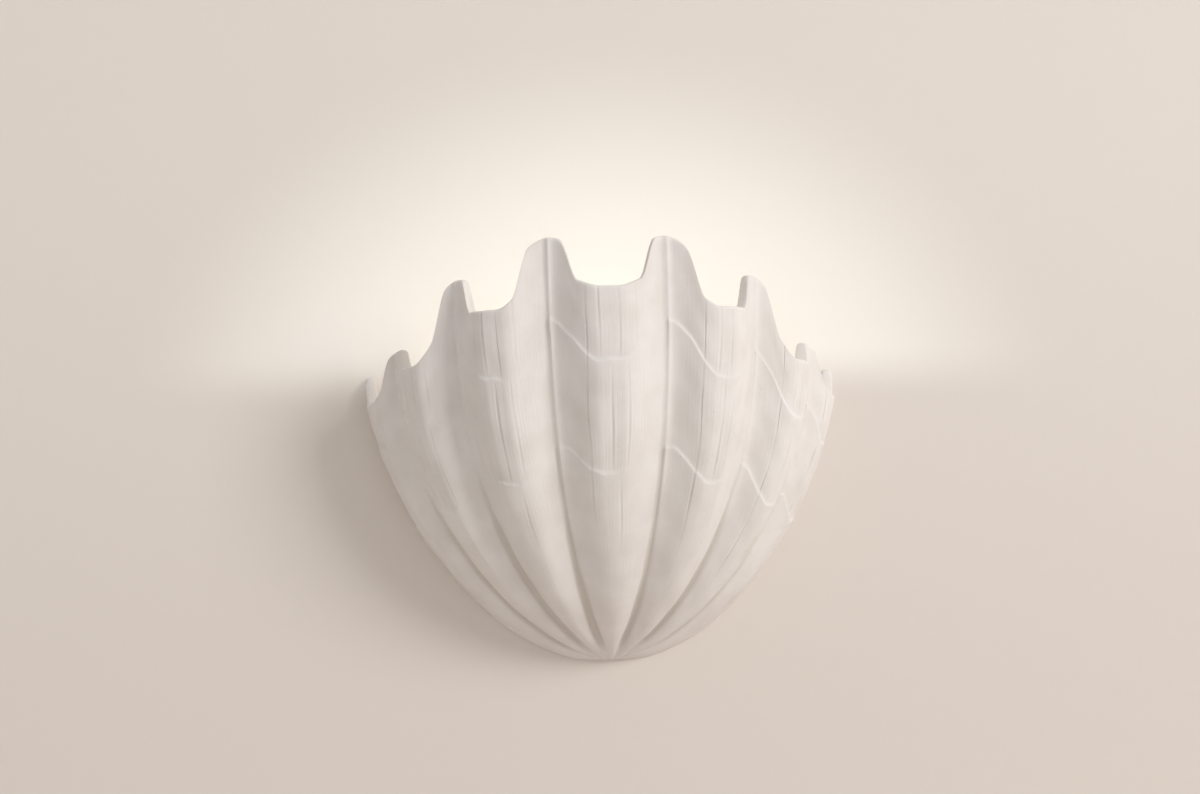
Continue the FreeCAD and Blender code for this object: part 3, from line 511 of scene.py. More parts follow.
    def growth_steps(self, angle: np.ndarray, share: np.ndarray, across: np.ndarray) -> np.ndarray:
        """Height of the two growth steps, strongest on the left half of each rib.

        Args:
            angle: Meridian of each point.
            share: Share of each point.
            across: Place across its rib, from -1 to 1.

        Returns:
            The heights in millimetres.
        """
        total = np.zeros_like(share)
        left_half = 1.0 - self.step_loss * smooth_rise(across, *self.step_loss_flank)
        low, high = self.steps
        for start, end in ((0.0, low), (low, high)):
            uneven = Wave(self.step_unevenness, 40.0, 23.0).at(end, angle)
            strength = left_half * (1.0 - self.step_unevenness + uneven)
            rising = np.clip((share - start) / (end - start), 0.0, 1.0) ** self.step_growth
            falling = 1.0 - smooth_rise((share - end) * self.mean_rim, *self.step_drop)
            total += self.step_lip * strength * rising * falling
        return total

    def drawn_line(self, line: Line, share: np.ndarray, across: np.ndarray,
                   unit: np.ndarray) -> np.ndarray:
        """Height of one drawn line: a groove with a low burr on its right.

        Args:
            line: The line.
            share: Share of each point.
            across: Place across its rib, from -1 to 1.
            unit: Millimetres to one half of a rib at each point.

        Returns:
            The heights in millimetres.
        """
        off = (across - line.across) * unit
        section = (LINE_CUT.at(off) + LINE_BURR.at(off)) * line.depth
        start = self.line_slow_start if line.low < self.steps[0] else self.line_start
        starting = smooth_rise(share - line.low, *start)
        ending = 1.0 - smooth_rise(share - line.high, *self.line_end)
        uneven = Wave(self.line_unevenness, 31.0, 50.0).at(share, line.across)
        return section * starting * ending * (1.0 - self.line_unevenness + uneven)

    def furrow_cords(self, share: np.ndarray, place: np.ndarray, unit: np.ndarray) -> np.ndarray:
        """Height of the raised cords in the furrows, and of the grooves beside them near the umbo.

        Args:
            share: Share of each point.
            place: Number of ribs from the left wall edge to each point.
            unit: Millimetres to one half of a rib at each point.

        Returns:
            The heights in millimetres.
        """
        total = np.zeros_like(share)
        cord_fade = smooth_rise(share, *self.cord_shares)
        near_umbo = smooth_rise(share, *self.groove_start)
        near_umbo = near_umbo * (1.0 - smooth_rise(share, *self.groove_end))
        for number, strength in enumerate(self.cord_strengths, start=1):
            off = (place - number) * 2.0 * unit
            total += strength * (CORD.at(off) + CORD_SIDE.at(off)) * cord_fade
            total += LOW_GROOVE.at(off) * near_umbo
        return total

    def detail(self, angle: np.ndarray, share: np.ndarray, unit: np.ndarray) -> np.ndarray:
        """Height of the fine relief over the smooth surface.

        Args:
            angle: Meridian of each point before the lines stray.
            share: Share of each point before the growth steps stray.
            unit: Millimetres to one half of a rib at each point.

        Returns:
            The heights of steps, drawn lines, cords and unevenness, in millimetres.
        """
        place = (angle + math.pi / 2) / self.rib_angle
        rib_number = np.clip(np.floor(place), 0, self.rib_count - 1)
        across = (place - rib_number) * 2.0 - 1.0
        total = self.growth_steps(angle, share, across)
        for number, rib in enumerate(self.lines):
            for line in rib:
                total += np.where(rib_number == number, self.drawn_line(line, share, across, unit), 0.0)
        total += self.furrow_cords(share, place, unit)
        total += math.prod(wave.at(share, angle) for wave in BROAD_UNEVENNESS)
        total += FINE_UNEVENNESS.at(share, angle) * smooth_rise(share, *self.uneven_shares)
        return total

    def outer_rows(self, angles: np.ndarray) -> tuple[np.ndarray, np.ndarray, np.ndarray]:
        """The outer surface with its relief.

        Args:
            angles: Angles of the columns.

        Returns:
            The grid of points, the shares of its rows and the relief at each point.
        """
        shares = self.row_shares()
        share, angle = np.meshgrid(shares, angles, indexing="ij")
        shift = np.zeros_like(share)
        for step in self.steps:
            stray = sum(wave.at(0.0, angle + step) for wave in STEP_STRAY)
            shift += hump(share, step, self.step_reach) * stray / self.mean_rim
        points = self.surface(angle + self.wander(angle, share), share + shift)
        facing = self.normals(points)
        reach = np.linalg.norm(np.gradient(points, axis=1), axis=-1)
        turn = np.gradient(angle, axis=1)
        relief = self.detail(angle, share, reach / turn * self.rib_angle / 2)
        edge = self.edge_sink * hump(points[..., 1], 0.0, self.edge_width)
        edge = edge * smooth_rise(share, *self.edge_shares)
        points = points + facing * (relief - edge)[..., None]
        points[:, (0, -1), 1] = 0.0
        points[..., 1] = np.minimum(points[..., 1], 0.0)
        return points, shares, relief

    def rounded_rim(self, tip: np.ndarray, inner_tip: np.ndarray) -> np.ndarray:
        """Rows of the rounded rim, from the outside over its top to the inside.

        Args:
            tip: Points of the outer edge, if the rim were sharp.
            inner_tip: Points of the inner edge.

        Returns:
            The grid of the rim's points.
        """
        inward = inner_tip - tip
        inward[:, 2] = 0.0
        inward = inward / np.linalg.norm(inward, axis=-1, keepdims=True)
        drop = np.array([0.0, 0.0, self.rim_round])
        outer = []
        inner = []
        for turn in self.rim_turns:
            bend = math.radians(turn)
            lowered = drop * (1.0 - math.sin(bend))
            aside = inward * self.rim_round * (1.0 - math.cos(bend))
            outer.append(tip - lowered + aside)
            inner.insert(0, inner_tip - lowered - aside)
        top = tip * 0.5 + inner_tip * 0.5 + drop * self.rim_crown
        return np.stack([*outer, top, *inner])

    def grid(self) -> tuple[np.ndarray, np.ndarray, np.ndarray]:
        """All points of the shell: outside, rounded rim and inside.

        Returns:
            The grid of points, the texture place of each and the recess of each.
        """
        angles = self.column_angles()
        outer, shares, relief = self.outer_rows(angles)
        whole = np.ones_like(angles)
        tip = self.surface(angles, whole)
        tip = tip + (outer[-1] - tip) * np.array([1.0, 1.0, 0.0])
        rim = self.rounded_rim(tip, self.surface(angles, whole, inside=True))
        falling = (1.0 - np.linspace(0.0, 1.0, self.inner_rows)) ** self.inner_crowding
        inner_shares = (1.0 - self.rim_round / self.mean_rim) * falling
        share, angle = np.meshgrid(inner_shares, angles, indexing="ij")
        points = np.concatenate([outer, rim, self.surface(angle, share, inside=True)])
        rising = np.concatenate([shares, np.full(len(rim), 1.0),
                                 1.0 + self.inner_texture * (1.0 - inner_shares)])
        texture = np.stack([np.broadcast_to(angles / math.pi + 0.5, points.shape[:2]),
                            np.broadcast_to(rising[:, None] * 0.5, points.shape[:2])], axis=-1)
        # how deep each outer point is cut in, which the plaster finish darkens as painted shade
        recess = np.zeros(points.shape[:2])
        recess[:len(outer)] = np.clip(-relief, 0.0, 1.0)
        return points, texture, recess

    def build(self) -> bpy.types.Object:
        """Make the shell's mesh from one grid, closed along the wall.

        Returns:
            The finished piece.
        """
        self.draw_lines()
        points, texture, recess = self.grid()
        rows, columns = points.shape[:2]
        clear_selection()
        bpy.ops.mesh.primitive_grid_add(x_subdivisions=columns - 1, y_subdivisions=rows - 1, size=1.0)
        piece = bpy.context.object
        piece.name = "fluted_shell"
        mesh = piece.data
        if len(mesh.vertices) != rows * columns:
            raise RuntimeError("the grid has an unexpected number of points")
        mesh.vertices.foreach_set("co", (points.reshape(-1, 3) * MM).ravel())
        corner = np.empty(len(mesh.loops), dtype=np.int32)
        mesh.loops.foreach_get("vertex_index", corner)
        layer = mesh.uv_layers.active or mesh.uv_layers.new(name="along_ribs")
        layer.name = "along_ribs"
        layer.uv.foreach_set("vector", texture.reshape(-1, 2)[corner].astype(np.float32).ravel())
        # the recess depth, which the plaster finish darkens as painted shade
        hollow = mesh.attributes.new("recess", "FLOAT", "POINT")
        hollow.data.foreach_set("value", recess.astype(np.float32).ravel())
        self.close(piece, rows, columns)
        piece.location = (0.0, 0.0, 0.0)
        bpy.ops.object.shade_smooth_by_angle(angle=math.radians(self.crease_angle))
        LOG.info("shell: %d rows, %d columns", rows, columns)
        return piece

    def close(self, piece: bpy.types.Object, rows: int, columns: int) -> None:
        """Close the umbo, the floor and the side that lies on the wall.

        Args:
            piece: The open grid.
            rows: Its number of rows.
            columns: Its number of columns.
        """
        mesh = piece.data
        last = rows * columns - columns
        left = [row * columns for row in range(rows)]
        right = [row * columns + columns - 1 for row in range(rows)]
        only(piece)
        for chosen in (range(columns), range(last, last + columns), left + right):
            bpy.ops.object.mode_set(mode="EDIT")
            bpy.ops.mesh.select_mode(type="VERT")
            bpy.ops.mesh.select_all(action="DESELECT")
            bpy.ops.object.mode_set(mode="OBJECT")
            for number in chosen:
                mesh.vertices[number].select = True
            bpy.ops.object.mode_set(mode="EDIT")
            bpy.ops.mesh.edge_face_add()
        bpy.ops.mesh.select_all(action="SELECT")
        bpy.ops.mesh.normals_make_consistent(inside=False)
        bpy.ops.object.mode_set(mode="OBJECT")


@dataclass
class ShellLugs:
    """The two plaster bosses inside the shell that take the bar's screws."""

    across: float = 139.5
    level: float = 35.0
    front: float = -12.3
    back: float = -1.0
    radius: float = 12.0
    bore: float = 3.2
    bore_depth: float = 9.0
    rounding: float = 1.2
    sides: int = 48
    crease_angle: float = 40.0

    def build(self) -> list[bpy.types.Object]:
        """Make both bosses, each with the bore of its threaded insert."""
        return [self.boss(side) for side in (-1, 1)]

    def boss(self, side: int) -> bpy.types.Object:
        """One boss.

        Args:
            side: -1 for the left one, 1 for the right one.

        Returns:
            The finished piece.
        """
        length = self.back - self.front
        middle = Vector((side * self.across, (self.front + self.back) / 2, self.level)) * MM
        clear_selection()
        bpy.ops.mesh.primitive_cylinder_add(
            vertices=self.sides, radius=self.radius * MM, depth=length * MM,
            location=middle, rotation=(math.pi / 2, 0.0, 0.0))
        piece = bpy.context.object
        piece.name = "shell_boss_left" if side < 0 else "shell_boss_right"
        bpy.ops.object.transform_apply(location=True, rotation=True, scale=True)
        bpy.ops.object.mode_set(mode="EDIT")
        bpy.ops.mesh.select_all(action="DESELECT")
        bpy.ops.object.mode_set(mode="OBJECT")
        for face in piece.data.polygons:
            face.select = face.normal.y < FRONTWARD
        bpy.ops.object.mode_set(mode="EDIT")
        bpy.ops.mesh.inset(thickness=(self.radius - self.bore) * MM)
        inwards = (0.0, self.bore_depth * MM, 0.0)
        bpy.ops.mesh.extrude_region_move(TRANSFORM_OT_translate={"value": inwards})
        bpy.ops.object.mode_set(mode="OBJECT")
        bevel = piece.modifiers.new("rounding", "BEVEL")
        bevel.width = self.rounding * MM
        bevel.segments = 3
        bevel.limit_method = "ANGLE"
        bpy.ops.object.modifier_apply(modifier=bevel.name)
        bpy.ops.object.shade_smooth_by_angle(angle=math.radians(self.crease_angle))
        return piece


# ---------------------------------------------------------------- finishes

class Nodes:
    """Adds nodes to one tree and joins them."""

    def __init__(self, tree: bpy.types.NodeTree) -> None:
        """Keep the tree."""
        self.tree = tree

    def add(self, kind: str, **settings: object) -> bpy.types.Node:
        """Add a node.

        Args:
            kind: Blender's name of the node type.
            **settings: Properties of the node; names that begin with a capital are inputs.

        Returns:
            The new node.
        """
        node = self.tree.nodes.new(kind)
        for name, value in settings.items():
            if name[0].isupper():
                node.inputs[name.replace("_", " ")].default_value = value
            else:
                setattr(node, name, value)
        return node

    def join(self, start: bpy.types.NodeSocket, end: bpy.types.NodeSocket) -> None:
        """Link an output to an input."""
        self.tree.links.new(start, end)

    def rise(self, value: bpy.types.NodeSocket, low: float, high: float,
             smooth: bool = True) -> bpy.types.NodeSocket:
        """A rise from 0 to 1 while a value goes from low to high.

        Args:
            value: The value's socket.
            low: The value at which the rise is 0.
            high: The value at which it is 1.
            smooth: Whether its ends are rounded off.

        Returns:
            The rise's socket.
        """
        node = self.add("ShaderNodeMapRange", interpolation_type="SMOOTHSTEP" if smooth else "LINEAR")
        node.inputs["From Min"].default_value = low
        node.inputs["From Max"].default_value = high
        self.join(value, node.inputs["Value"])
        return node.outputs["Result"]

    def maths(self, operation: str, first: object, second: object = None) -> bpy.types.NodeSocket:
        """One calculation with sockets or numbers.

        Args:
            operation: Blender's name of the calculation.
            first: A socket or number.
            second: A socket, a number or nothing.

        Returns:
            The result's socket.
        """
        node = self.add("ShaderNodeMath", operation=operation)
        for number, value in enumerate((first, second)):
            if isinstance(value, bpy.types.NodeSocket):
                self.join(value, node.inputs[number])
            elif value is not None:
                node.inputs[number].default_value = value
        return node.outputs[0]

    def between(self, mask: bpy.types.NodeSocket, low: object, high: object) -> bpy.types.NodeSocket:
        """A colour between two, by a mask.

        Args:
            mask: 0 for the first colour, 1 for the second.
            low: The first colour, or its socket.
            high: The second colour, or its socket.

        Returns:
            The mixed colour's socket.
        """
        node = self.add("ShaderNodeMix", data_type="RGBA")
        self.join(mask, node.inputs["Factor"])
        for number, value in ((6, low), (7, high)):
            if isinstance(value, bpy.types.NodeSocket):
                self.join(value, node.inputs[number])
            else:
                node.inputs[number].default_value = (*value, 1.0)
        return node.outputs[2]


def grain_group() -> bpy.types.NodeTree:
    """The grain that most finishes share: mottled colour, roughness and a fine height.

    Returns:
        A node group with named inputs and outputs.
    """
    group = bpy.data.node_groups.new("fine_grain", "ShaderNodeTree")
    for name, kind, value in (
        ("Coordinates", "NodeSocketVector", None), ("Scale", "NodeSocketFloat", 120.0),
        ("Fine Scale", "NodeSocketFloat", 900.0), ("Light", "NodeSocketColor", None),
        ("Dark", "NodeSocketColor", None), ("Smooth", "NodeSocketFloat", 0.4),
        ("Rough", "NodeSocketFloat", 0.6),
    ):
        socket = group.interface.new_socket(name, in_out="INPUT", socket_type=kind)
        if value is not None:
            socket.default_value = value
    for name, kind in (("Color", "NodeSocketColor"), ("Roughness", "NodeSocketFloat"),
                       ("Height", "NodeSocketFloat")):
        group.interface.new_socket(name, in_out="OUTPUT", socket_type=kind)
    make = Nodes(group)
    entry = make.add("NodeGroupInput")
    leave = make.add("NodeGroupOutput")
    broad = make.add("ShaderNodeTexNoise", Detail=4.0, Roughness=0.6)
    fine = make.add("ShaderNodeTexNoise", Detail=3.0, Roughness=0.65)
    for node, scale in ((broad, "Scale"), (fine, "Fine Scale")):
        make.join(entry.outputs["Coordinates"], node.inputs["Vector"])
        make.join(entry.outputs[scale], node.inputs["Scale"])
    spread = make.rise(broad.outputs["Fac"], 0.35, 0.68)
    mottled = make.between(spread, entry.outputs["Light"], entry.outputs["Dark"])
    make.join(mottled, leave.inputs["Color"])
    rough = make.add("ShaderNodeMapRange")
    make.join(fine.outputs["Fac"], rough.inputs["Value"])
    make.join(entry.outputs["Smooth"], rough.inputs["To Min"])
    make.join(entry.outputs["Rough"], rough.inputs["To Max"])
    make.join(rough.outputs["Result"], leave.inputs["Roughness"])
    height = make.maths("ADD", make.maths("MULTIPLY", broad.outputs["Fac"], 0.5),
                        make.maths("MULTIPLY", fine.outputs["Fac"], 0.5))
    make.join(height, leave.inputs["Height"])
    return group


GRAIN = grain_group()


def new_material(name: str) -> tuple[bpy.types.Material, Nodes, bpy.types.Node]:
    """Make an empty node-based material.

    Args:
        name: Its name.

    Returns:
        The material, its nodes and its shader.
    """
    material = bpy.data.materials.new(name)
    material.use_nodes = True
    return material, Nodes(material.node_tree), material.node_tree.nodes["Principled BSDF"]


def add_grain(make: Nodes, coordinates: bpy.types.NodeSocket, scales: tuple[float, float],
              colours: tuple[Colour, Colour], gloss: tuple[float, float]) -> bpy.types.Node:
    """Place the shared grain in a material.

    Args:
        make: The material's nodes.
        coordinates: Where the grain reads its place.
        scales: Scale of the broad grain and of the fine one.
        colours: The light colour and the dark one.
        gloss: The least roughness and the greatest.

    Returns:
        The group's node.
    """
    grain = make.add("ShaderNodeGroup", node_tree=GRAIN)
    make.join(coordinates, grain.inputs["Coordinates"])
    grain.inputs["Scale"].default_value = scales[0]
    grain.inputs["Fine Scale"].default_value = scales[1]
    grain.inputs["Light"].default_value = (*colours[0], 1.0)
    grain.inputs["Dark"].default_value = (*colours[1], 1.0)
    grain.inputs["Smooth"].default_value = gloss[0]
    grain.inputs["Rough"].default_value = gloss[1]
    return grain


@dataclass(frozen=True)
class Finish:
    """A plain finish: two near colours, a gloss and a grain."""

    name: str
    light: Colour
    dark: Colour
    gloss: tuple[float, float]
    scale: float = 120.0
    fine_scale: float = 900.0
    metal: bool = False
    coat: float = 0.0
    bump: float = 0.15
    bump_depth: float = 0.0001

    def material(self) -> bpy.types.Material:
        """Make the material of this finish.

        Returns:
            The material.
        """
        material, make, shader = new_material(self.name)
        place = make.add("ShaderNodeTexCoord")
        grain = add_grain(make, place.outputs["Object"], (self.scale, self.fine_scale),
                          (self.light, self.dark), self.gloss)
        make.join(grain.outputs["Color"], shader.inputs["Base Color"])
        make.join(grain.outputs["Roughness"], shader.inputs["Roughness"])
        shader.inputs["Metallic"].default_value = 1.0 if self.metal else 0.0
        shader.inputs["Coat Weight"].default_value = self.coat
        bump = make.add("ShaderNodeBump", Strength=self.bump, Distance=self.bump_depth)
        make.join(grain.outputs["Height"], bump.inputs["Height"])
        make.join(bump.outputs["Normal"], shader.inputs["Normal"])
        return material


@dataclass(frozen=True)
class PlasterFinish:
    """Matt cast plaster with brush lines along the ribs and pores, and painted shade that darkens its
    hollows.
    """

    name: str = "cast_plaster"
    light: Colour = (0.80, 0.765, 0.738)
    dark: Colour = (0.76, 0.72, 0.688)
    # painted shade: the dark colour and the share of it that darken the plaster in its recesses
    recess_shade: Colour = (0.60, 0.55, 0.50)
    recess_shade_share: float = 0.7
    gloss: tuple[float, float] = (0.78, 0.95)
    scales: tuple[float, float] = (34.0, 760.0)
    strand_scale: tuple[float, float] = (520.0, 12.0)
    pore_scale: float = 210.0
    pore_edge: tuple[float, float] = (0.05, 0.16)
    pore_share: tuple[float, float] = (0.80, 0.84)
    strand_height: float = 0.75
    grain_height: float = 0.45
    pore_height: float = 0.9
    bump: float = 0.55
    bump_depth: float = 0.00045

    def material(self) -> bpy.types.Material:
        """Make the material of the shell.

        Returns:
            The material.
        """
        material, make, shader = new_material(self.name)
        place = make.add("ShaderNodeTexCoord")
        grain = add_grain(make, place.outputs["Object"], self.scales, (self.light, self.dark),
                          self.gloss)
        along = make.add("ShaderNodeUVMap", uv_map="along_ribs")
        strands = make.add("ShaderNodeMapping")
        strands.inputs["Scale"].default_value = (*self.strand_scale, 1.0)
        make.join(along.outputs["UV"], strands.inputs["Vector"])
        brush = make.add("ShaderNodeTexNoise", Scale=1.0, Detail=3.0, Roughness=0.55)
        make.join(strands.outputs["Vector"], brush.inputs["Vector"])
        pores = make.add("ShaderNodeTexVoronoi", Scale=self.pore_scale, Randomness=1.0)
        make.join(place.outputs["Object"], pores.inputs["Vector"])
        pit = make.rise(pores.outputs["Distance"], *self.pore_edge)
        missing = make.maths("SUBTRACT", 1.0,
                             make.rise(pores.outputs["Color"], *self.pore_share, smooth=False))
        surface = make.maths("MAXIMUM", pit, missing)
        height = make.maths("ADD", make.maths("MULTIPLY", brush.outputs["Fac"], self.strand_height),
                            make.maths("MULTIPLY", grain.outputs["Height"], self.grain_height))
        height = make.maths("ADD", height, make.maths("MULTIPLY", surface, self.pore_height))
        bump = make.add("ShaderNodeBump", Strength=self.bump, Distance=self.bump_depth)
        make.join(height, bump.inputs["Height"])
        make.join(bump.outputs["Normal"], shader.inputs["Normal"])
        # painted shade: the deeper a point is cut in, the more its colour goes towards the dark recess
        # colour
        hollow = make.add("ShaderNodeAttribute", attribute_name="recess")
        painted_recess_shade = make.maths("MULTIPLY", hollow.outputs["Fac"], self.recess_shade_share)
        colour = make.between(painted_recess_shade, grain.outputs["Color"], self.recess_shade)
        make.join(colour, shader.inputs["Base Color"])
        make.join(grain.outputs["Roughness"], shader.inputs["Roughness"])
        shader.inputs["Specular IOR Level"].default_value = 0.3
        return material


@dataclass(frozen=True)
class GlobeFinish:
    """Frosted lamp glass, lit from inside and a little dimmer towards its collar."""

    name: str = "lit_frosted_glass"
    bright: Colour = (1.0, 0.93, 0.80)
    dim: Colour = (0.95, 0.80, 0.60)
    strength: float = 6.5
    level: tuple[float, float] = (0.022, 0.040)
    glass: tuple[Colour, Colour] = ((0.95, 0.93, 0.89), (0.91, 0.88, 0.83))
    gloss: tuple[float, float] = (0.35, 0.55)
    scales: tuple[float, float] = (60.0, 2600.0)

    def material(self) -> bpy.types.Material:
        """Make the material of the globe.

        Returns:
            The material.
        """
        material, make, shader = new_material(self.name)
        place = make.add("ShaderNodeTexCoord")
        split = make.add("ShaderNodeSeparateXYZ")
        make.join(place.outputs["Object"], split.inputs["Vector"])
        glow = make.between(make.rise(split.outputs["Z"], *self.level), self.dim, self.bright)
        make.join(glow, shader.inputs["Emission Color"])
        shader.inputs["Emission Strength"].default_value = self.strength
        grain = add_grain(make, place.outputs["Object"], self.scales, self.glass, self.gloss)
        make.join(grain.outputs["Color"], shader.inputs["Base Color"])
        make.join(grain.outputs["Roughness"], shader.inputs["Roughness"])
        return material


FINISHES = {
    "plaster": PlasterFinish(),
    "bulb_frost": GlobeFinish(),
    "zinc_steel": Finish("zinc_plated_steel", (0.62, 0.62, 0.60), (0.55, 0.55, 0.53), (0.28, 0.48),
                         scale=260.0, metal=True),
    "white_paint": Finish("powder_coat_white", (0.80, 0.79, 0.76), (0.76, 0.75, 0.72), (0.42, 0.58),
                          scale=90.0, fine_scale=1500.0, bump=0.35, bump_depth=0.0002),
    "bright_brass": Finish("bright_brass", (0.83, 0.62, 0.30), (0.70, 0.49, 0.21), (0.20, 0.36),
                           scale=300.0, metal=True),
    "nickel": Finish("nickel_plate", (0.72, 0.69, 0.63), (0.62, 0.59, 0.53), (0.18, 0.32),
                     scale=220.0, metal=True),
    "holder_white": Finish("moulded_holder_white", (0.82, 0.81, 0.78), (0.78, 0.77, 0.73),
                           (0.30, 0.44), scale=70.0, fine_scale=1800.0, bump=0.2),
    "bulb_white": Finish("lamp_collar_white", (0.86, 0.85, 0.83), (0.82, 0.81, 0.78), (0.24, 0.36),
                         scale=60.0, fine_scale=1700.0, bump=0.12),
    "black_glass": Finish("black_insulator_glass", (0.020, 0.020, 0.024), (0.035, 0.033, 0.036),
                          (0.08, 0.16), scale=400.0, coat=0.3),
    "board": Finish("led_board_white", (0.78, 0.79, 0.76), (0.66, 0.68, 0.64), (0.35, 0.5),
                    scale=350.0),
    "terminal_plastic": Finish("terminal_block_natural", (0.74, 0.72, 0.66), (0.69, 0.66, 0.59),
                               (0.36, 0.5), scale=130.0, fine_scale=1400.0),
    "grommet_rubber": Finish("grommet_black_rubber", (0.030, 0.030, 0.031), (0.048, 0.046, 0.044),
                             (0.62, 0.82), scale=200.0, fine_scale=1900.0, bump=0.3),
    "live_brown": Finish("insulation_brown", (0.150, 0.060, 0.028), (0.115, 0.045, 0.020),
                         (0.34, 0.48), scale=180.0),
    "neutral_blue": Finish("insulation_blue", (0.030, 0.110, 0.330), (0.022, 0.085, 0.270),
                           (0.34, 0.48), scale=180.0),
    "earth_green": Finish("insulation_green", (0.055, 0.300, 0.070), (0.600, 0.540, 0.060),
                          (0.34, 0.48), scale=180.0),
}


# ---------------------------------------------------------------- wall, floor, light and camera

@dataclass
class Studio:
    """The pale wall and floor, the soft light and the camera, in metres and degrees.

    The lamp's light on the wall is painted into the wall's own material as a glow that fades away from
    the rim, and a stronger painted glow on the part behind the shell, which lights the shell's back and
    inside.
    """

    wall_size: float = 5.0
    wall_gap: float = 0.0003
    floor_level: float = -0.95
    # painted shade: the wall's colour darkens from wall_high to wall_low further down
    wall_high: Colour = (0.780, 0.725, 0.672)
    wall_low: Colour = (0.735, 0.672, 0.620)
    wall_shade_levels: tuple[float, float] = (-0.22, 0.26)
    wall_grain: float = 150.0
    wall_bump: float = 0.12
    wall_bump_depth: float = 0.0006
    # painted light: the colours and strengths of the glows painted into the wall
    glow_colour: Colour = (0.93, 1.0, 0.96)
    hidden_glow_colour: Colour = (1.0, 0.93, 0.84)
    glow_strength: float = 0.22
    hidden_glow_strength: float = 0.42
    hidden_levels: tuple[float, float] = (-0.1277, 0.069)
    hidden_half_width: float = 0.1580
    hidden_belly: float = 1.4
    hidden_spread: float = 0.45
    hidden_lean: float = 0.0038
    glow_centre: float = 0.020
    glow_reach: tuple[float, float] = (0.165, 0.140)
    glow_fade: tuple[float, float] = (2.05, 0.95)
    glow_cut: tuple[float, float] = (0.046, 0.086)
    camera_distance: float = 1.5
    camera_level: float = 0.0512
    camera_side: float = -3.06
    camera_roll: float = 1.1
    lens: float = 65.5
    key_place: tuple[float, float, float] = (3.95, -3.55, 2.3)
    key_target: tuple[float, float, float] = (0.0, -0.05, 0.02)
    key_size: float = 2.0
    key_power: float = 178.0
    light_colour: Colour = (1.0, 0.985, 0.97)
    room_strength: float = 0.575
    room_colour: Colour = (0.80, 0.75, 0.70)

    def one_sided(self, make: Nodes, shader: bpy.types.Node) -> None:
        """Let a wall or floor vanish for whoever looks at its back.

        Args:
            make: The material's nodes.
            shader: The shader of its front.
        """
        back = make.add("ShaderNodeNewGeometry")
        clear = make.add("ShaderNodeBsdfTransparent")
        either = make.add("ShaderNodeMixShader")
        make.join(back.outputs["Backfacing"], either.inputs["Fac"])
        make.join(shader.outputs["BSDF"], either.inputs[1])
        make.join(clear.outputs["BSDF"], either.inputs[2])
        make.join(either.outputs["Shader"], make.tree.nodes["Material Output"].inputs["Surface"])

    def wall_material(self) -> bpy.types.Material:
        """Pale painted wall, with painted shade that makes it a little darker low down, and painted lamp
        light around the shell's rim.

        Returns:
            The material.
        """
        material, make, shader = new_material("painted_wall")
        place = make.add("ShaderNodeTexCoord")
        split = make.add("ShaderNodeSeparateXYZ")
        make.join(place.outputs["Object"], split.inputs["Vector"])
        # painted shade: the wall is darker low down
        height = make.rise(split.outputs["Z"], *self.wall_shade_levels)
        colour = make.between(height, self.wall_low, self.wall_high)
        make.join(colour, shader.inputs["Base Color"])
        shader.inputs["Roughness"].default_value = 0.85
        shader.inputs["Specular IOR Level"].default_value = 0.2
        peel = make.add("ShaderNodeTexNoise", Scale=self.wall_grain, Detail=3.0, Roughness=0.5)
        make.join(place.outputs["Object"], peel.inputs["Vector"])
        bump = make.add("ShaderNodeBump", Strength=self.wall_bump, Distance=self.wall_bump_depth)
        make.join(peel.outputs["Fac"], bump.inputs["Height"])
        make.join(bump.outputs["Normal"], shader.inputs["Normal"])
        # painted light: the wall glows around the rim and behind the shell
        shine, behind = self.glow(make, split)
        glow_tint = make.between(behind, self.glow_colour, self.hidden_glow_colour)
        make.join(glow_tint, shader.inputs["Emission Color"])
        make.join(shine, shader.inputs["Emission Strength"])
        self.one_sided(make, shader)
        return material

    def glow(self, make: Nodes,
             place: bpy.types.Node) -> tuple[bpy.types.NodeSocket, bpy.types.NodeSocket]:
        """How strongly each place of the wall shines with painted lamp light.

        Args:
            make: The wall material's nodes.
            place: The node that splits its coordinates.

        Returns:
            The strength's socket, and a mask of the part that the shell hides.
        """
        across = make.maths("DIVIDE", place.outputs["X"], self.glow_reach[0])
        up = make.maths("DIVIDE", make.maths("SUBTRACT", place.outputs["Z"], self.glow_centre),
                        self.glow_reach[1])
        away = make.maths("SQRT", make.maths("ADD", make.maths("MULTIPLY", across, across),
                                             make.maths("MULTIPLY", up, up)))
        shine = make.maths("MULTIPLY", make.rise(away, *self.glow_fade),
                           make.rise(place.outputs["Z"], *self.glow_cut))
        shine = make.maths("MULTIPLY", shine, self.glow_strength)
        behind = self.hidden_part(make, place)
        hidden_shine = make.maths("MULTIPLY", behind, self.hidden_glow_strength)
        return make.maths("MAXIMUM", shine, hidden_shine), behind

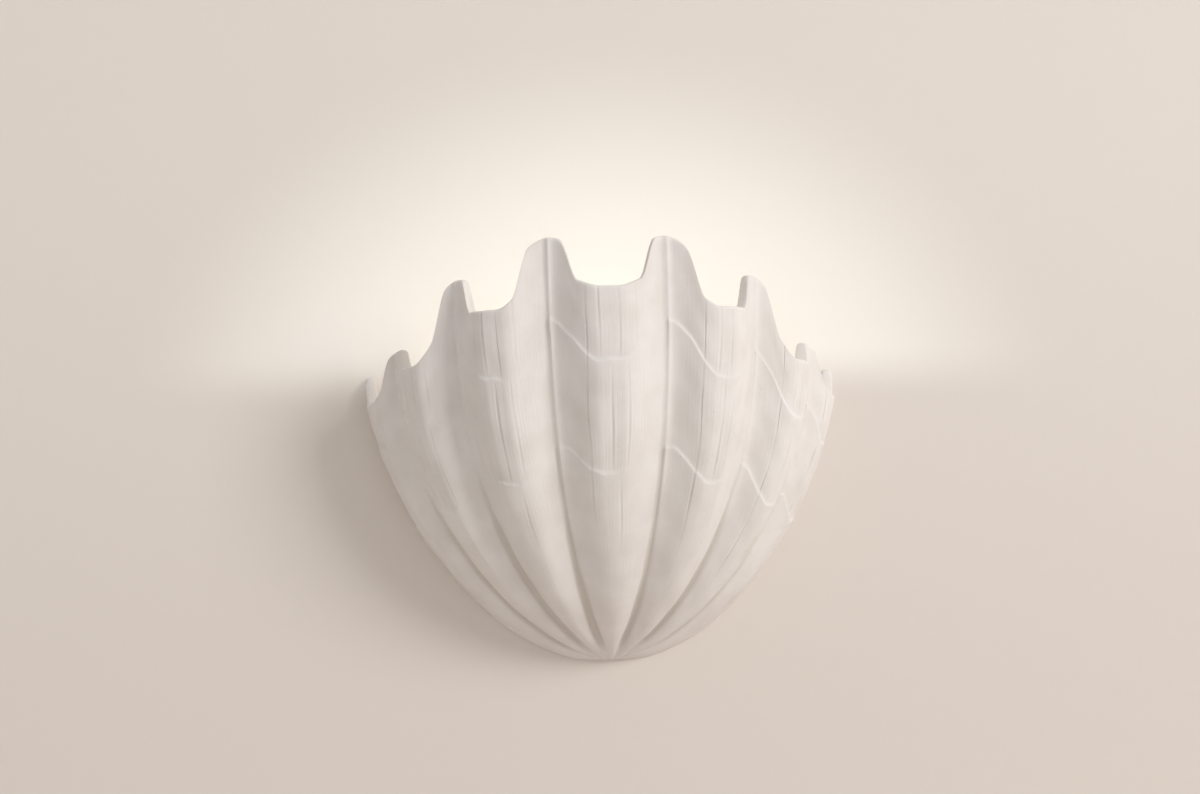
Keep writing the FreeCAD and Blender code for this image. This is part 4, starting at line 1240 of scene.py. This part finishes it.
    def hidden_part(self, make: Nodes, place: bpy.types.Node) -> bpy.types.NodeSocket:
        """Mark the part of the wall that the shell hides, a little inside its outline, for its stronger
        painted glow.

        Args:
            make: The wall material's nodes.
            place: The node that splits its coordinates.

        Returns:
            The mask's socket.
        """
        low, high = self.hidden_levels
        left = make.maths("DIVIDE", make.maths("SUBTRACT", high, place.outputs["Z"]), high - low)
        left = make.maths("MINIMUM", make.maths("MAXIMUM", left, 0.0), 1.0)
        full = make.maths("SUBTRACT", 1.0, make.maths("POWER", left, self.hidden_belly))
        half_width = make.maths("MULTIPLY", make.maths("POWER", full, self.hidden_spread),
                                self.hidden_half_width)
        middle = make.maths("MULTIPLY", left, self.hidden_lean)
        across = make.maths("ABSOLUTE", make.maths("SUBTRACT", place.outputs["X"], middle))
        inside = make.maths("LESS_THAN", across, half_width)
        below = make.maths("LESS_THAN", place.outputs["Z"], self.glow_cut[0])
        return make.maths("MULTIPLY", inside, below)

    def floor_material(self) -> bpy.types.Material:
        """Pale matt floor.

        Returns:
            The material.
        """
        material, make, shader = new_material("pale_floor")
        shader.inputs["Base Color"].default_value = (*self.wall_low, 1.0)
        shader.inputs["Roughness"].default_value = 0.9
        self.one_sided(make, shader)
        return material

    def surfaces(self) -> None:
        """Stand the wall behind the object and the floor well below it."""
        clear_selection()
        bpy.ops.mesh.primitive_plane_add(size=self.wall_size, location=(0.0, self.wall_gap, 0.0),
                                         rotation=(math.pi / 2, 0.0, 0.0))
        wall = bpy.context.object
        wall.name = "backdrop_wall"
        bpy.ops.object.transform_apply(location=True, rotation=True, scale=True)
        wall.data.materials.append(self.wall_material())
        clear_selection()
        bpy.ops.mesh.primitive_plane_add(size=self.wall_size, location=(0.0, 0.0, self.floor_level))
        floor = bpy.context.object
        floor.name = "studio_floor"
        bpy.ops.object.transform_apply(location=True, rotation=True, scale=True)
        floor.data.materials.append(self.floor_material())

    def lights(self) -> None:
        """Set the soft key light from the right and the even light of the room."""
        data = bpy.data.lights.new("key_right", "AREA")
        data.size = self.key_size
        data.energy = self.key_power
        data.color = self.light_colour
        key = bpy.data.objects.new("key_right", data)
        key.location = self.key_place
        aim = Vector(self.key_target) - Vector(self.key_place)
        key.rotation_euler = aim.to_track_quat("-Z", "Y").to_euler()
        bpy.context.scene.collection.objects.link(key)
        world = bpy.data.worlds.new("pale_room")
        bpy.context.scene.world = world
        world.use_nodes = True
        make = Nodes(world.node_tree)
        light = world.node_tree.nodes["Background"]
        light.inputs["Color"].default_value = (*self.light_colour, 1.0)
        light.inputs["Strength"].default_value = self.room_strength
        seen = make.add("ShaderNodeBackground", Color=(*self.room_colour, 1.0), Strength=1.0)
        path = make.add("ShaderNodeLightPath")
        either = make.add("ShaderNodeMixShader")
        direct = make.maths("MAXIMUM", path.outputs["Is Camera Ray"], path.outputs["Is Glossy Ray"])
        make.join(direct, either.inputs["Fac"])
        make.join(light.outputs["Background"], either.inputs[1])
        make.join(seen.outputs["Background"], either.inputs[2])
        make.join(either.outputs["Shader"], world.node_tree.nodes["World Output"].inputs["Surface"])

    def camera(self) -> None:
        """Stand the camera where the photograph was taken from."""
        data = bpy.data.cameras.new("photo_camera")
        data.lens = self.lens
        data.sensor_width = 36.0
        data.clip_start = 0.01
        data.clip_end = 50.0
        side = math.radians(self.camera_side)
        camera = bpy.data.objects.new("photo_camera", data)
        camera.location = (self.camera_distance * math.sin(side),
                           -self.camera_distance * math.cos(side), self.camera_level)
        camera.rotation_euler = (math.pi / 2, math.radians(self.camera_roll), side)
        bpy.context.scene.collection.objects.link(camera)
        bpy.context.scene.camera = camera

    def build(self) -> None:
        """Build the whole studio."""
        self.surfaces()
        self.lights()
        self.camera()
        scene = bpy.context.scene
        scene.view_settings.view_transform = "Standard"


# ---------------------------------------------------------------- dressing

@dataclass
class Fittings:
    """The CAD pieces that keep their own shape and get their finish here."""

    made: dict[str, bpy.types.Material] = field(default_factory=dict)

    def finish_of(self, slot: str) -> bpy.types.Material:
        """The material of a record slot, made once.

        Args:
            slot: Name of the slot in the record.

        Returns:
            The material.
        """
        if slot not in self.made:
            self.made[slot] = FINISHES[slot].material()
        return self.made[slot]

    def dress(self, hidden: set[str]) -> None:
        """Give every visible CAD piece its finish.

        Args:
            hidden: Names of the nodes that new pieces stand for.
        """
        for part in frame["record"]["subparts"]:
            name = part["node"]
            if name in hidden:
                continue
            node = frame["nodes"][name]
            material = self.finish_of(part["material_slot"])
            if not node.data.materials:
                node.data.materials.append(material)
            for number in range(len(node.material_slots)):
                node.material_slots[number].material = material
            LOG.info("dressed %s", name)


def main() -> None:
    """Build each sub-assembly in order, dress it and say so."""
    logging.basicConfig(level=logging.INFO, format="%(name)s: %(message)s")
    fittings = Fittings()
    shell = PlasterShell().build()
    shell.data.materials.append(fittings.finish_of("plaster"))
    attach(shell, Body.SHADE.value)
    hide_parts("shell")
    LOG.info("built %s", shell.name)
    for boss in ShellLugs().build():
        boss.data.materials.append(fittings.finish_of("plaster"))
        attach(boss, Body.SHADE.value)
        LOG.info("built %s", boss.name)
    fittings.dress({"shell"})
    Studio().build()


if __name__ == "__main__":
    main()
